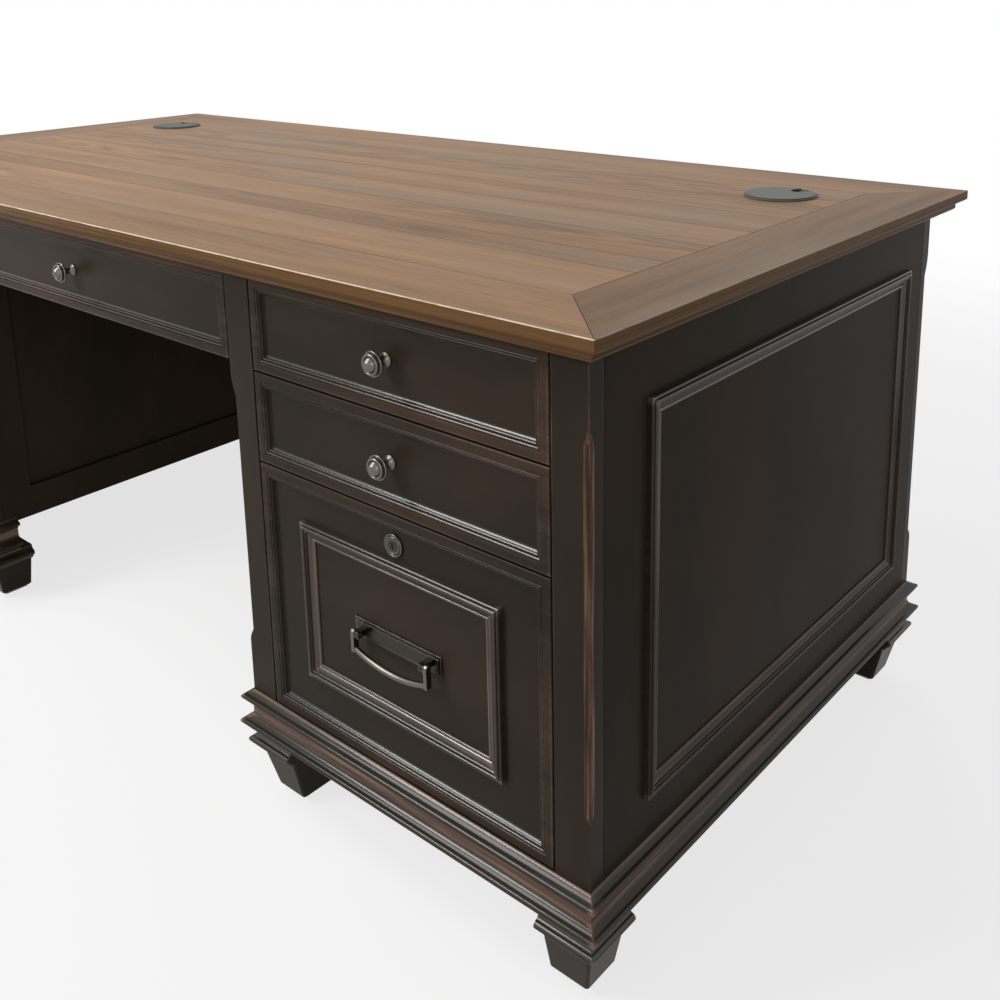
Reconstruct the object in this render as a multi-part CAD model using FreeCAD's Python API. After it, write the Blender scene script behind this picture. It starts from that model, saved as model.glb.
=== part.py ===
import FreeCAD
import Part
import math
import os

# Double pedestal desk: a mitred, planked top on two drawer pedestals with a centre drawer between.
# Millimetres. Origin on the floor under the middle of the top, +X to the sitter's right,
# +Y to the back of the desk, +Z up.

Vector = FreeCAD.Vector
X_AXIS = Vector(1, 0, 0)
Y_AXIS = Vector(0, 1, 0)
Z_AXIS = Vector(0, 0, 1)
ORIGIN = Vector(0, 0, 0)
CUT_OVERRUN = 5.0

# Overall sizes
TOP_LENGTH = 1930.0
TOP_DEPTH = 914.0
DESK_HEIGHT = 762.0

# Desk top: rails mitred round a planked field
TOP_THICKNESS = 28.0
TOP_BORDER = 108.0
TOP_EASE = 0.8
EDGE_SETBACK = 16.0
OVERHANG_FRONT = 28.0
OVERHANG_SIDE = 27.0
OVERHANG_BACK = 68.0

# Pedestal case
PEDESTAL_WIDTH = 560.0
STILE_WIDTH = 46.0
STILE_THICKNESS = 22.0
PANEL_THICKNESS = 18.0
PANEL_GROOVE = 1.2
FLOOR_DROP = 8.0
KNEEHOLE_RAIL = 56.0
KNEEHOLE_STILE = 58.0
KNEEHOLE_HEADER = 144.0
KNEEHOLE_RECESS = 6.0
STRETCHER_WIDTH = 50.0
STRETCHER_SETBACK = 24.0
MODESTY_SETBACK = 6.0

# Stopped chamfers on the stiles
CHAMFER_LEG = 7.5
CHAMFER_RISE = 70.0
CHAMFER_DROP = 51.0
KNEEHOLE_CHAMFER_DROP = 126.0
CHAMFER_FOOT_STOP = 20.0
CHAMFER_HEAD_STOP = 38.0

# Base moulding, feet and floor glides
FOOT_HEIGHT = 92.0
FOOT_SIZE = 66.0
FOOT_TAPER = 13.0
FOOT_ROUND = 6.0
FOOT_INSET = 4.0
FOOT_EASE = 4.0
CAP_HEIGHT = 26.0
CAP_PROJECTION = 13.0
GLIDE_THICKNESS = 4.0
GLIDE_RADIUS = 12.0
BASE_HEIGHT = 62.0
BASE_PROJECTION = 15.5
BASE_RETURN = 48.0

# Applied moulding frames on the sides, the back and the file drawers
MOULDING_WIDTH = 22.0
MOULDING_HEIGHT = 9.0
SIDE_FRAME_FRONT_END = 96.0
SIDE_FRAME_BACK_END = 74.0
SIDE_FRAME_RISE = 54.0
SIDE_FRAME_DROP = 67.0
BACK_FRAME_END = 24.0
MODESTY_FRAME_END = 70.0

# Drawer fronts
FRONT_THICKNESS = 20.0
FRONT_GAP = 2.5
UPPER_FRONT_HEIGHT = 118.0
MIDDLE_FRONT_HEIGHT = 116.0
CENTRE_FRONT_HEIGHT = 114.0
BORDER_WIDTH = 22.0
BORDER_RELIEF = 6.0
FILE_FRAME_WIDTH = 322.0
FILE_FRAME_DROP = 58.5

# Drawer boxes and slides
BOX_DEPTH = 560.0
BOX_WALL = 13.0
BOX_LIFT = 15.0
BOX_FLOOR_LIFT = 8.0
BOX_FLOOR = 6.0
SHALLOW_BOX_HEADROOM = 25.0
CENTRE_BOX_HEADROOM = 35.0
FILE_BOX_HEADROOM = 59.0
FILE_RAIL_SPACING = 318.0
FILE_RAIL_WIDTH = 4.0
FILE_RAIL_HEIGHT = 12.0
SLIDE_LENGTH = 550.0
SLIDE_SPACE = 13.0
SLIDE_HEIGHT = 36.0
SLIDE_DEPTH = 10.5
SLIDE_LIP = 4.5
SLIDE_WALL = 1.2
SLIDE_SETBACK = 6.0
SLIDE_PLAY = 0.5
CLEAT_HEIGHT = 52.0

# Round knobs
KNOB_RADIUS = 15.0
KNOB_PROJECTION = 30.5

# Bail pulls
PULL_LENGTH = 141.0
PULL_HEIGHT = 24.0
PULL_BASE = 2.2
PULL_STEP = 1.6
PULL_STEP_INSET = 4.0
PULL_POST = 8.0
PULL_POST_PROJECTION = 18.0
PULL_RAISE = 4.0
PULL_CLEARANCE = 4.0
BAIL_SPAN = 120.0
BAIL_ARM = 4.6
BAIL_EYE_RADIUS = 4.2
BAIL_DROP = 21.0
BAIL_BOW = 11.0
BAIL_BAR_RADIUS = 3.6
BAIL_PIN_RADIUS = 1.5
BAIL_PLAY = 0.1
BAIL_SIDE_PLAY = 0.4

# Cam locks on the file drawers
LOCK_BEZEL_RADIUS = 14.5
LOCK_BEZEL_THICKNESS = 3.0
LOCK_BODY_RADIUS = 10.5
LOCK_BODY_PLAY = 0.1
LOCK_PLUG_RADIUS = 7.0
LOCK_PLUG_PLAY = 0.1
LOCK_TAIL = 11.0
LOCK_KEYWAY_LENGTH = 9.0
LOCK_KEYWAY_WIDTH = 2.0
LOCK_KEYWAY_DEPTH = 3.0
CAM_LENGTH = 30.0
CAM_WIDTH = 12.0
CAM_THICKNESS = 2.5
CAM_PLAY = 0.4
LOCK_RAIL_HEIGHT = 20.0
LOCK_RAIL_THICKNESS = 8.0
LOCK_RAIL_SETBACK = 2.0

# Cable grommets
GROMMET_FROM_END = 201.0
GROMMET_FROM_BACK = 192.0
GROMMET_RADIUS = 53.0
GROMMET_TUBE_RADIUS = 45.0
GROMMET_TUBE_WALL = 2.0
GROMMET_FLANGE = 1.2
GROMMET_RIM = 2.4
GROMMET_RIM_WIDTH = 3.0
GROMMET_PLAY = 0.3
GROMMET_CAP_THICKNESS = 2.2
GROMMET_SKIRT_DEPTH = 8.0
GROMMET_NOTCH_RADIUS = 12.0
GROMMET_NOTCH_REACH = 27.0

# Section outlines, as shares of a moulding's own width and height. A point ends a straight line,
# a pair of points ends an arc that passes through the first of the two.
TOP_EDGE_SHARES = (
    (1.0, 0.0),
    ((0.83, 0.05), (0.76, 0.19)),
    ((0.69, 0.36), (0.46, 0.44)),
    (0.31, 0.44),
    (0.31, 0.50),
    (0.15, 0.50),
    ((0.04, 0.53), (0.0, 0.60)),
)
BASE_SHARES = (
    (0.0, 0.0),
    (0.22, 0.0),
    ((0.48, 0.125), (0.84, 0.195)),
    ((1.0, 0.255), (0.86, 0.315)),
    ((0.42, 0.365), (0.14, 0.47)),
    (0.12, 0.64),
    ((0.36, 0.735), (0.70, 0.785)),
    ((0.86, 0.84), (0.72, 0.895)),
    ((0.34, 0.925), (0.0, 1.0)),
)
CAP_SHARES = (
    (0.0, 0.0),
    (0.20, 0.0),
    ((0.38, 0.12), (0.64, 0.30)),
    ((1.0, 0.50), (0.64, 0.70)),
    ((0.42, 0.80), (0.36, 1.0)),
    (0.0, 1.0),
)
FRAME_SHARES = (
    (0.0, 0.0),
    (0.0, 0.585),
    ((0.06, 0.761), (0.159, 0.689)),
    (0.182, 0.689),
    (0.182, 0.778),
    ((0.255, 0.979), (0.345, 0.822)),
    (0.345, 0.70),
    (0.359, 0.70),
    ((0.455, 0.776), (0.513, 0.578)),
    (0.513, 0.544),
    (0.532, 0.544),
    ((0.682, 0.456), (0.809, 0.222)),
    (0.836, 0.20),
    ((0.927, 0.278), (1.0, 0.10)),
    (1.0, 0.0),
)
BORDER_SHARES = (
    (0.0, 0.0),
    (0.0, 0.86),
    (0.04, 1.0),
    (0.50, 1.0),
    (0.53, 0.74),
    ((0.61, 0.98), (0.69, 0.72)),
    (0.70, 0.60),
    ((0.78, 0.74), (0.85, 0.42)),
    ((0.91, 0.16), (1.0, 0.06)),
    (1.0, 0.0),
)
KNOB_SHARES = (
    (0.0, 0.0),
    (0.56, 0.0),
    (0.56, 0.05),
    ((0.38, 0.15), (0.28, 0.36)),
    ((0.34, 0.50), (0.64, 0.57)),
    (0.94, 0.59),
    ((1.0, 0.64), (0.94, 0.69)),
    (0.83, 0.68),
    (0.84, 0.76),
    ((0.75, 0.83), (0.60, 0.79)),
    (0.56, 0.83),
)
BEZEL_SHARES = (
    (1.0, 0.0),
    (1.0, 0.45),
    ((0.95, 0.86), (0.84, 0.80)),
    (0.78, 0.62),
    ((0.70, 1.02), (0.58, 0.86)),
)
CHAMFER_TONGUE_SHARES = (0.28, 0.60)
SLIDE_PLACE_SHARE = 0.48
FILE_FRAME_RISE_SHARE = 0.20
PULL_PLACE_SHARE = 0.38
LOCK_PLACE_SHARE = 0.50
CAM_ROOT_SHARE = 0.8
BAIL_TAPER_SHARE = 0.90
GROMMET_NOTCH_DIRECTION = Vector(0.39, 0.92, 0)

# Levels and faces that the pieces share
case_top = DESK_HEIGHT - TOP_THICKNESS
base_top = FOOT_HEIGHT + BASE_HEIGHT
case_floor = base_top - FLOOR_DROP
case_front = OVERHANG_FRONT - TOP_DEPTH / 2
case_back = TOP_DEPTH / 2 - OVERHANG_BACK
case_outer = TOP_LENGTH / 2 - OVERHANG_SIDE
case_inner = case_outer - PEDESTAL_WIDTH
stile_back = case_front + STILE_THICKNESS
back_stile_front = case_back - STILE_THICKNESS
opening_inner = case_inner + STILE_WIDTH
opening_outer = case_outer - STILE_WIDTH
opening_half = (opening_outer - opening_inner) / 2
pedestal_middle = (opening_inner + opening_outer) / 2
front_face = case_front + BORDER_RELIEF
front_back = case_front + FRONT_THICKNESS
front_top = case_top - FRONT_GAP
upper_low = front_top - UPPER_FRONT_HEIGHT
middle_top = upper_low - FRONT_GAP
middle_low = middle_top - MIDDLE_FRONT_HEIGHT
file_top = middle_low - FRONT_GAP
file_low = base_top + FRONT_GAP
centre_low = front_top - CENTRE_FRONT_HEIGHT
file_frame_low = file_low + FILE_FRAME_RISE_SHARE * (file_top - file_low)
file_frame_top = file_top - FILE_FRAME_DROP
lock_height = file_frame_top + LOCK_PLACE_SHARE * (FILE_FRAME_DROP - BORDER_WIDTH)
grommet_middle = TOP_LENGTH / 2 - GROMMET_FROM_END
grommet_back = TOP_DEPTH / 2 - GROMMET_FROM_BACK


def block(low, high):
    """A rectangular board between two opposite corners."""
    size = Vector(*high) - Vector(*low)
    return Part.makeBox(size.x, size.y, size.z, Vector(*low))


def mirrored(shape):
    """The same piece on the left side of the desk."""
    return shape.mirror(ORIGIN, X_AXIS)


def scaled_outline(shares, width, height):
    """An outline's shares as real sizes."""

    def real(step):
        if isinstance(step[0], tuple):
            return tuple(real(point) for point in step)
        return (step[0] * width, step[1] * height)

    return [real(step) for step in shares]


def outline_face(outline, place):
    """A flat face inside a closed outline, whose points place() puts in space."""
    start = place(*outline[0])
    here = start
    edges = []
    for step in outline[1:]:
        if isinstance(step[0], tuple):
            end = place(*step[1])
            edges.append(Part.Arc(here, place(*step[0]), end).toShape())
        else:
            end = place(*step)
            edges.append(Part.makeLine(here, end))
        here = end
    edges.append(Part.makeLine(here, start))
    return Part.Face(Part.Wire(edges))


def outline_reach(outline):
    """How far an outline reaches along its two directions."""
    points = []
    for step in outline:
        points.extend(step if isinstance(step[0], tuple) else (step,))
    return max(point[0] for point in points), max(point[1] for point in points)


def mitred_run(outline, corner, along, across, out, length, start_turn, end_turn):
    """A straight moulding whose ends lean with the distance across it: 1 for the inside of a frame,
    -1 for an outside corner, 0 for a square end."""
    width, height = outline_reach(outline)
    first = min(0, start_turn * width)
    last = max(length, length - end_turn * width)
    section = outline_face(outline, lambda u, v: corner + along * first + across * u + out * v)
    bar = section.extrude(along * (last - first))
    if start_turn == 0 and end_turn == 0:
        return bar
    plan = ((0, 0), (length, 0), (length - end_turn * width, width), (start_turn * width, width))
    mitre = outline_face(plan, lambda s, u: corner - out * CUT_OVERRUN + along * s + across * u)
    return bar.common(mitre.extrude(out * (height + CUT_OVERRUN + CUT_OVERRUN)))


def mitred_frame(outline, corner, right, up, out, width, height):
    """Four runs mitred round a rectangle: bottom, right, top, left."""
    far = corner + right * width + up * height
    return [
        mitred_run(outline, corner, right, up, out, width, 1, 1),
        mitred_run(outline, corner + right * width, up, -right, out, height, 1, 1),
        mitred_run(outline, far, -right, -up, out, width, 1, 1),
        mitred_run(outline, corner + up * height, -up, right, out, height, 1, 1),
    ]


def wrapped_runs(outline, path, level):
    """Runs along a counter-clockwise path in plan, mitred at its corners and square at its ends."""
    runs = []
    for index, (here, there) in enumerate(zip(path, path[1:])):
        here = Vector(here[0], here[1], level)
        there = Vector(there[0], there[1], level)
        along = (there - here).normalize()
        across = Vector(along.y, -along.x, 0)
        start_turn = 0 if index == 0 else -1
        end_turn = 0 if index == len(path) - 2 else -1
        length = here.distanceToPoint(there)
        runs.append(mitred_run(outline, here, along, across, Z_AXIS, length, start_turn, end_turn))
    return runs


def turned(outline, centre, axis):
    """A piece turned about an axis, from an outline of radius and distance along the axis."""
    side = Z_AXIS if abs(axis.z) < abs(axis.y) else X_AXIS
    face = outline_face(outline, lambda r, d: centre + side * r + axis * d)
    return face.revolve(centre, axis, 360)


def dome(radius, base, crown):
    """Arc from a circle of the given radius up to a crown on the axis, part of a ball."""
    rise = crown - base
    ball = (radius * radius + rise * rise) / (rise + rise)
    half_angle = math.asin(min(1, radius / ball)) / 2
    return ((ball * math.sin(half_angle), crown - ball + ball * math.cos(half_angle)), (0, crown))


# Desk top


def grommet_centre():
    """The right-hand grommet's centre on the top's surface."""
    return Vector(grommet_middle, grommet_back, DESK_HEIGHT)


def top_rails():
    """The four border rails, moulded along the edge of the desk and mitred at its corners."""
    edge = scaled_outline(TOP_EDGE_SHARES, EDGE_SETBACK, TOP_THICKNESS)
    outline = edge + [
        (0, TOP_THICKNESS - TOP_EASE),
        (TOP_EASE, TOP_THICKNESS),
        (TOP_BORDER - TOP_EASE, TOP_THICKNESS),
        (TOP_BORDER, TOP_THICKNESS - TOP_EASE),
        (TOP_BORDER, 0),
    ]
    corner = Vector(-TOP_LENGTH / 2, -TOP_DEPTH / 2, case_top)
    rails = mitred_frame(outline, corner, X_AXIS, Y_AXIS, Z_AXIS, TOP_LENGTH, TOP_DEPTH)
    return dict(zip(("top_front_rail", "top_right_rail", "top_back_rail", "top_left_rail"), rails))


def top_field():
    """The planked middle of the top, bored for the two grommets."""
    half_length = TOP_LENGTH / 2 - TOP_BORDER
    half_depth = TOP_DEPTH / 2 - TOP_BORDER
    field = block((-half_length, -half_depth, case_top), (half_length, half_depth, DESK_HEIGHT))
    start = grommet_centre() - Z_AXIS * (TOP_THICKNESS + CUT_OVERRUN)
    radius = GROMMET_TUBE_RADIUS + GROMMET_PLAY
    hole = Part.makeCylinder(radius, TOP_THICKNESS + CUT_OVERRUN + CUT_OVERRUN, start)
    return field.cut([hole, mirrored(hole)])


def grommet_liner():
    """Tube through the top with a flange, a ledge for the cap and a raised rim."""
    inner = GROMMET_TUBE_RADIUS - GROMMET_TUBE_WALL
    rim_inner = GROMMET_RADIUS - GROMMET_RIM_WIDTH
    outline = [
        (inner, -TOP_THICKNESS),
        (GROMMET_TUBE_RADIUS, -TOP_THICKNESS),
        (GROMMET_TUBE_RADIUS, 0),
        (GROMMET_RADIUS, 0),
        (GROMMET_RADIUS, GROMMET_FLANGE),
        (GROMMET_RADIUS - GROMMET_RIM_WIDTH / 3, GROMMET_RIM),
        (rim_inner, GROMMET_RIM),
        (rim_inner, GROMMET_FLANGE),
        (inner, GROMMET_FLANGE),
    ]
    return turned(outline, grommet_centre(), Z_AXIS)


def grommet_cap():
    """Turning cap with a skirt inside the tube and a wire notch in its rim."""
    radius = GROMMET_RADIUS - GROMMET_RIM_WIDTH - GROMMET_PLAY
    skirt_outer = GROMMET_TUBE_RADIUS - GROMMET_TUBE_WALL - GROMMET_PLAY
    skirt_inner = skirt_outer - GROMMET_TUBE_WALL
    base = GROMMET_FLANGE + GROMMET_PLAY
    outline = [
        (0, base),
        (skirt_inner, base),
        (skirt_inner, base - GROMMET_SKIRT_DEPTH),
        (skirt_outer, base - GROMMET_SKIRT_DEPTH),
        (skirt_outer, base),
        (radius, base),
        (radius, base + GROMMET_CAP_THICKNESS - GROMMET_PLAY),
        (radius - GROMMET_PLAY, base + GROMMET_CAP_THICKNESS),
        (0, base + GROMMET_CAP_THICKNESS),
    ]
    cap = turned(outline, grommet_centre(), Z_AXIS)
    reach = Vector(GROMMET_NOTCH_DIRECTION).normalize()
    depth = GROMMET_SKIRT_DEPTH + CUT_OVERRUN
    height = depth + GROMMET_CAP_THICKNESS + base + CUT_OVERRUN
    slot_start = radius - GROMMET_NOTCH_REACH + GROMMET_NOTCH_RADIUS
    inner_end = grommet_centre() + reach * slot_start - Z_AXIS * depth
    across = reach.cross(Z_AXIS) * GROMMET_NOTCH_RADIUS
    outer_end = inner_end + reach * (GROMMET_NOTCH_REACH + CUT_OVERRUN)
    corners = [inner_end - across, outer_end - across, outer_end + across, inner_end + across]
    slot = Part.Face(Part.makePolygon(corners + corners[:1])).extrude(Z_AXIS * height)
    return cap.cut([slot, Part.makeCylinder(GROMMET_NOTCH_RADIUS, height, inner_end)])


# Pedestal case


def chamfer_tool(corner, inward, low, high):
    """What a stopped chamfer takes off a vertical edge, with a tongue-shaped stop at each end."""
    depth = CHAMFER_LEG / 2 ** 0.5
    slow, fast = CHAMFER_TONGUE_SHARES
    foot = low + CHAMFER_FOOT_STOP
    head = high - CHAMFER_HEAD_STOP
    outline = [
        (-CUT_OVERRUN, low),
        (0, low),
        ((depth * slow, low + CHAMFER_FOOT_STOP * fast), (depth, foot)),
        (depth, head),
        ((depth * slow, high - CHAMFER_HEAD_STOP * fast), (0, high)),
        (-CUT_OVERRUN, high),
    ]
    inward = Vector(inward).normalize()
    across = inward.cross(Z_AXIS) * (CHAMFER_LEG + CUT_OVERRUN)
    face = outline_face(outline, lambda q, z: corner + inward * q + Z_AXIS * z - across)
    return face.extrude(across * 2)


def corner_posts():
    """The four stiles of the right pedestal, with stopped chamfers on the edges that show."""
    posts = []
    outer_span = (base_top + CHAMFER_RISE, case_top - CHAMFER_DROP)
    inner_span = (base_top + CHAMFER_RISE, case_top - KNEEHOLE_CHAMFER_DROP)
    for near, far, face, turn in (
        (case_front, stile_back, case_front, 1),
        (back_stile_front, case_back, case_back, -1),
    ):
        outer = block((opening_outer, near, FOOT_HEIGHT), (case_outer, far, case_top))
        outer_corner = Vector(case_outer, face, 0)
        posts.append(outer.cut(chamfer_tool(outer_corner, (-1, turn, 0), *outer_span)))
        inner = block((case_inner, near, FOOT_HEIGHT), (opening_inner, far, case_top))
        inner_corner = Vector(case_inner, face, 0)
        posts.append(inner.cut(chamfer_tool(inner_corner, (1, turn, 0), *inner_span)))
    return posts


def side_panel():
    """Outer side of the right pedestal, eased where it meets the stiles."""
    plan = [
        (case_outer - PANEL_THICKNESS, stile_back),
        (case_outer - PANEL_GROOVE, stile_back),
        (case_outer, stile_back + PANEL_GROOVE),
        (case_outer, back_stile_front - PANEL_GROOVE),
        (case_outer - PANEL_GROOVE, back_stile_front),
        (case_outer - PANEL_THICKNESS, back_stile_front),
    ]
    face = outline_face(plan, lambda x, y: Vector(x, y, FOOT_HEIGHT))
    return face.extrude(Z_AXIS * (case_top - FOOT_HEIGHT))


def kneehole_panel():
    """Kneehole side of the right pedestal: a framed panel under a deep header."""
    inside = case_inner + PANEL_THICKNESS
    panel = block((case_inner, stile_back, case_floor), (inside, back_stile_front, case_top))
    recess = block(
        (case_inner - CUT_OVERRUN, stile_back + KNEEHOLE_STILE, case_floor + KNEEHOLE_RAIL),
        (case_inner + KNEEHOLE_RECESS, back_stile_front - KNEEHOLE_STILE, case_top - KNEEHOLE_HEADER),
    )
    return panel.cut(recess)


def back_panel():
    """Back of the right pedestal, between the back stiles."""
    return block(
        (opening_inner, case_back - PANEL_THICKNESS, FOOT_HEIGHT), (opening_outer, case_back, case_top)
    )


def modesty_panel():
    """Panel across the back of the kneehole."""
    back = case_back - MODESTY_SETBACK
    return block((-case_inner, back - PANEL_THICKNESS, base_top), (case_inner, back, case_top))


def pedestal_bottom():
    """Floor of the right pedestal, between its two sides."""
    return block(
        (case_inner + PANEL_THICKNESS, stile_back, case_floor),
        (case_outer - PANEL_THICKNESS, back_stile_front, case_floor + PANEL_THICKNESS),
    )


def case_rails():
    """Front apron, top stretchers and lock rail of the right pedestal."""
    left = case_inner + PANEL_THICKNESS
    right = case_outer - PANEL_THICKNESS
    low = case_top - PANEL_THICKNESS
    first = stile_back + STRETCHER_SETBACK
    lock_rail = front_back + LOCK_RAIL_SETBACK
    return [
        block((opening_inner, case_front, FOOT_HEIGHT), (opening_outer, stile_back, base_top)),
        block((left, first, low), (right, first + STRETCHER_WIDTH, case_top)),
        block((left, back_stile_front - STRETCHER_WIDTH, low), (right, back_stile_front, case_top)),
        block(
            (left, lock_rail, file_top - LOCK_RAIL_HEIGHT),
            (right, lock_rail + LOCK_RAIL_THICKNESS, file_top),
        ),
    ]


def side_moulding():
    """Applied frame on the right side panel."""
    outline = scaled_outline(FRAME_SHARES, MOULDING_WIDTH, MOULDING_HEIGHT)
    low = base_top + SIDE_FRAME_RISE
    corner = Vector(case_outer, case_front + SIDE_FRAME_FRONT_END, low)
    width = case_back - case_front - SIDE_FRAME_FRONT_END - SIDE_FRAME_BACK_END
    return mitred_frame(
        outline, corner, Y_AXIS, Z_AXIS, X_AXIS, width, case_top - SIDE_FRAME_DROP - low
    )


def back_mouldings():
    """Applied frames on the back of the right pedestal, its mirror image and the modesty panel."""
    outline = scaled_outline(FRAME_SHARES, MOULDING_WIDTH, MOULDING_HEIGHT)
    low = base_top + SIDE_FRAME_RISE
    height = case_top - SIDE_FRAME_DROP - low
    width = (opening_half - BACK_FRAME_END) * 2
    corner = Vector(pedestal_middle + width / 2, case_back, low)
    frame = mitred_frame(outline, corner, -X_AXIS, Z_AXIS, Y_AXIS, width, height)
    middle_width = (case_inner - MODESTY_FRAME_END) * 2
    middle_corner = Vector(middle_width / 2, case_back - MODESTY_SETBACK, low)
    middle = mitred_frame(outline, middle_corner, -X_AXIS, Z_AXIS, Y_AXIS, middle_width, height)
    return frame + [mirrored(run) for run in frame] + middle


def base_moulding():
    """Mitred moulding round the right pedestal, with a short return at each kneehole corner."""
    path = [
        (case_inner, case_front + BASE_RETURN),
        (case_inner, case_front),
        (case_outer, case_front),
        (case_outer, case_back),
        (case_inner, case_back),
        (case_inner, case_back - BASE_RETURN),
    ]
    return wrapped_runs(scaled_outline(BASE_SHARES, BASE_PROJECTION, BASE_HEIGHT), path, FOOT_HEIGHT)


def eased_rectangle(left, right, near, far, level):
    """Outline of a foot at one height, with rounded corners."""
    arc = FOOT_EASE - FOOT_EASE / 2 ** 0.5
    outline = [
        (right - FOOT_EASE, near),
        ((right - arc, near + arc), (right, near + FOOT_EASE)),
        (right, far - FOOT_EASE),
        ((right - arc, far - arc), (right - FOOT_EASE, far)),
        (left + FOOT_EASE, far),
        ((left + arc, far - arc), (left, far - FOOT_EASE)),
        (left, near + FOOT_EASE),
        ((left + arc, near + arc), (left + FOOT_EASE, near)),
    ]
    return outline_face(outline, lambda x, y: Vector(x, y, level)).OuterWire


def foot():
    """Foot under the outer front corner of the right pedestal. Its two outer sides lean in towards
    the floor under a moulded cap, and its inner sides are upright."""
    cap_low = FOOT_HEIGHT - CAP_HEIGHT
    right = case_outer - FOOT_INSET
    near = case_front + FOOT_INSET
    left = right - FOOT_SIZE
    far = near + FOOT_SIZE
    toe_right = right - FOOT_TAPER
    toe_near = near + FOOT_TAPER
    edge = FOOT_ROUND
    sections = [
        eased_rectangle(left + edge, toe_right - edge, toe_near + edge, far - edge, GLIDE_THICKNESS),
        eased_rectangle(left, toe_right, toe_near, far, GLIDE_THICKNESS + edge),
        eased_rectangle(left, right, near, far, cap_low),
    ]
    leg = Part.makeLoft(sections, True, True)
    core = block((left, near, cap_low), (right, far, FOOT_HEIGHT))
    outline = scaled_outline(CAP_SHARES, CAP_PROJECTION, CAP_HEIGHT)
    runs = wrapped_runs(outline, [(left, near), (right, near), (right, far)], cap_low)
    return core.multiFuse([leg] + runs).removeSplitter()


def at_corners(piece):
    """A piece under the outer front corner of the right pedestal, with its images at the other three."""
    middle = Vector(pedestal_middle, (case_front + case_back) / 2, 0)
    front = [piece, piece.mirror(middle, X_AXIS)]
    return front + [image.mirror(middle, Y_AXIS) for image in front]


def glide_centre():
    """Middle of the toe of the foot under the outer front corner of the right pedestal."""
    inset = FOOT_INSET + (FOOT_SIZE + FOOT_TAPER) / 2
    return Vector(case_outer - inset, case_front + inset, 0)


def floor_glide():
    """Round glide under a foot."""
    return Part.makeCylinder(GLIDE_RADIUS, GLIDE_THICKNESS, glide_centre())


# Drawers


def drawer_front(middle, width, low, high):
    """Drawer front with a beaded border round a recessed panel."""
    left = middle - width / 2
    plate = block((left, front_face, low), (left + width, front_back, high))
    outline = scaled_outline(BORDER_SHARES, BORDER_WIDTH, BORDER_RELIEF)
    corner = Vector(left, front_face, low)
    border = mitred_frame(outline, corner, X_AXIS, Z_AXIS, -Y_AXIS, width, high - low)
    return plate.multiFuse(border).removeSplitter()


def file_front(middle, width):
    """File drawer front, bored for the lock."""
    front = drawer_front(middle, width, file_low, file_top)
    start = Vector(middle, front_face - CUT_OVERRUN, lock_height)
    length = FRONT_THICKNESS + CUT_OVERRUN + CUT_OVERRUN
    return front.cut(Part.makeCylinder(LOCK_BODY_RADIUS + LOCK_BODY_PLAY, length, start, Y_AXIS))


def file_moulding(middle):
    """Applied frame on the recessed panel of a file drawer front."""
    outline = scaled_outline(FRAME_SHARES, MOULDING_WIDTH, MOULDING_HEIGHT)
    corner = Vector(middle - FILE_FRAME_WIDTH / 2, front_face, file_frame_low)
    height = file_frame_top - file_frame_low
    return mitred_frame(outline, corner, X_AXIS, Z_AXIS, -Y_AXIS, FILE_FRAME_WIDTH, height)


def drawer_box(middle, width, low, height):
    """Five boards of a drawer box, open at the top."""
    left = middle - width / 2
    right = middle + width / 2
    back = front_back + BOX_DEPTH
    floor = low + BOX_FLOOR_LIFT
    return [
        block((left, front_back, low), (left + BOX_WALL, back, low + height)),
        block((right - BOX_WALL, front_back, low), (right, back, low + height)),
        block(
            (left + BOX_WALL, front_back, low),
            (right - BOX_WALL, front_back + BOX_WALL, low + height),
        ),
        block((left + BOX_WALL, back - BOX_WALL, low), (right - BOX_WALL, back, low + height)),
        block(
            (left + BOX_WALL, front_back + BOX_WALL, floor),
            (right - BOX_WALL, back - BOX_WALL, floor + BOX_FLOOR),
        ),
    ]


def channel(outline, face, side, level):
    """A slide member: an outline of distance from the mounting face and height, drawn along the desk."""
    start = front_back + SLIDE_SETBACK
    section = outline_face(outline, lambda d, z: Vector(face - side * d, start, level + z))
    return section.extrude(Y_AXIS * SLIDE_LENGTH)


def cabinet_members(middle, half_width, level):
    """The two lipped channels of a drawer's slides that are fixed in the desk."""
    half = SLIDE_HEIGHT / 2
    lip = half - SLIDE_LIP
    wall = half - SLIDE_WALL
    inside = SLIDE_DEPTH - SLIDE_WALL
    outline = [
        (0, -half),
        (SLIDE_DEPTH, -half),
        (SLIDE_DEPTH, -lip),
        (inside, -lip),
        (inside, -wall),
        (SLIDE_WALL, -wall),
        (SLIDE_WALL, wall),
        (inside, wall),
        (inside, lip),
        (SLIDE_DEPTH, lip),
        (SLIDE_DEPTH, half),
        (0, half),
    ]
    return [channel(outline, middle + side * half_width, side, level) for side in (-1, 1)]


def drawer_members(middle, half_width, level):
    """The two inner channels of a drawer's slides, fixed to the sides of the box."""
    half = SLIDE_HEIGHT / 2 - SLIDE_LIP - SLIDE_PLAY
    wall = half - SLIDE_WALL
    reach = SLIDE_WALL + SLIDE_PLAY
    web = SLIDE_SPACE - SLIDE_WALL
    outline = [
        (SLIDE_SPACE, -half),
        (SLIDE_SPACE, half),
        (reach, half),
        (reach, wall),
        (web, wall),
        (web, -wall),
        (reach, -wall),
        (reach, -half),
    ]
    return [channel(outline, middle + side * half_width, side, level) for side in (-1, 1)]


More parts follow.
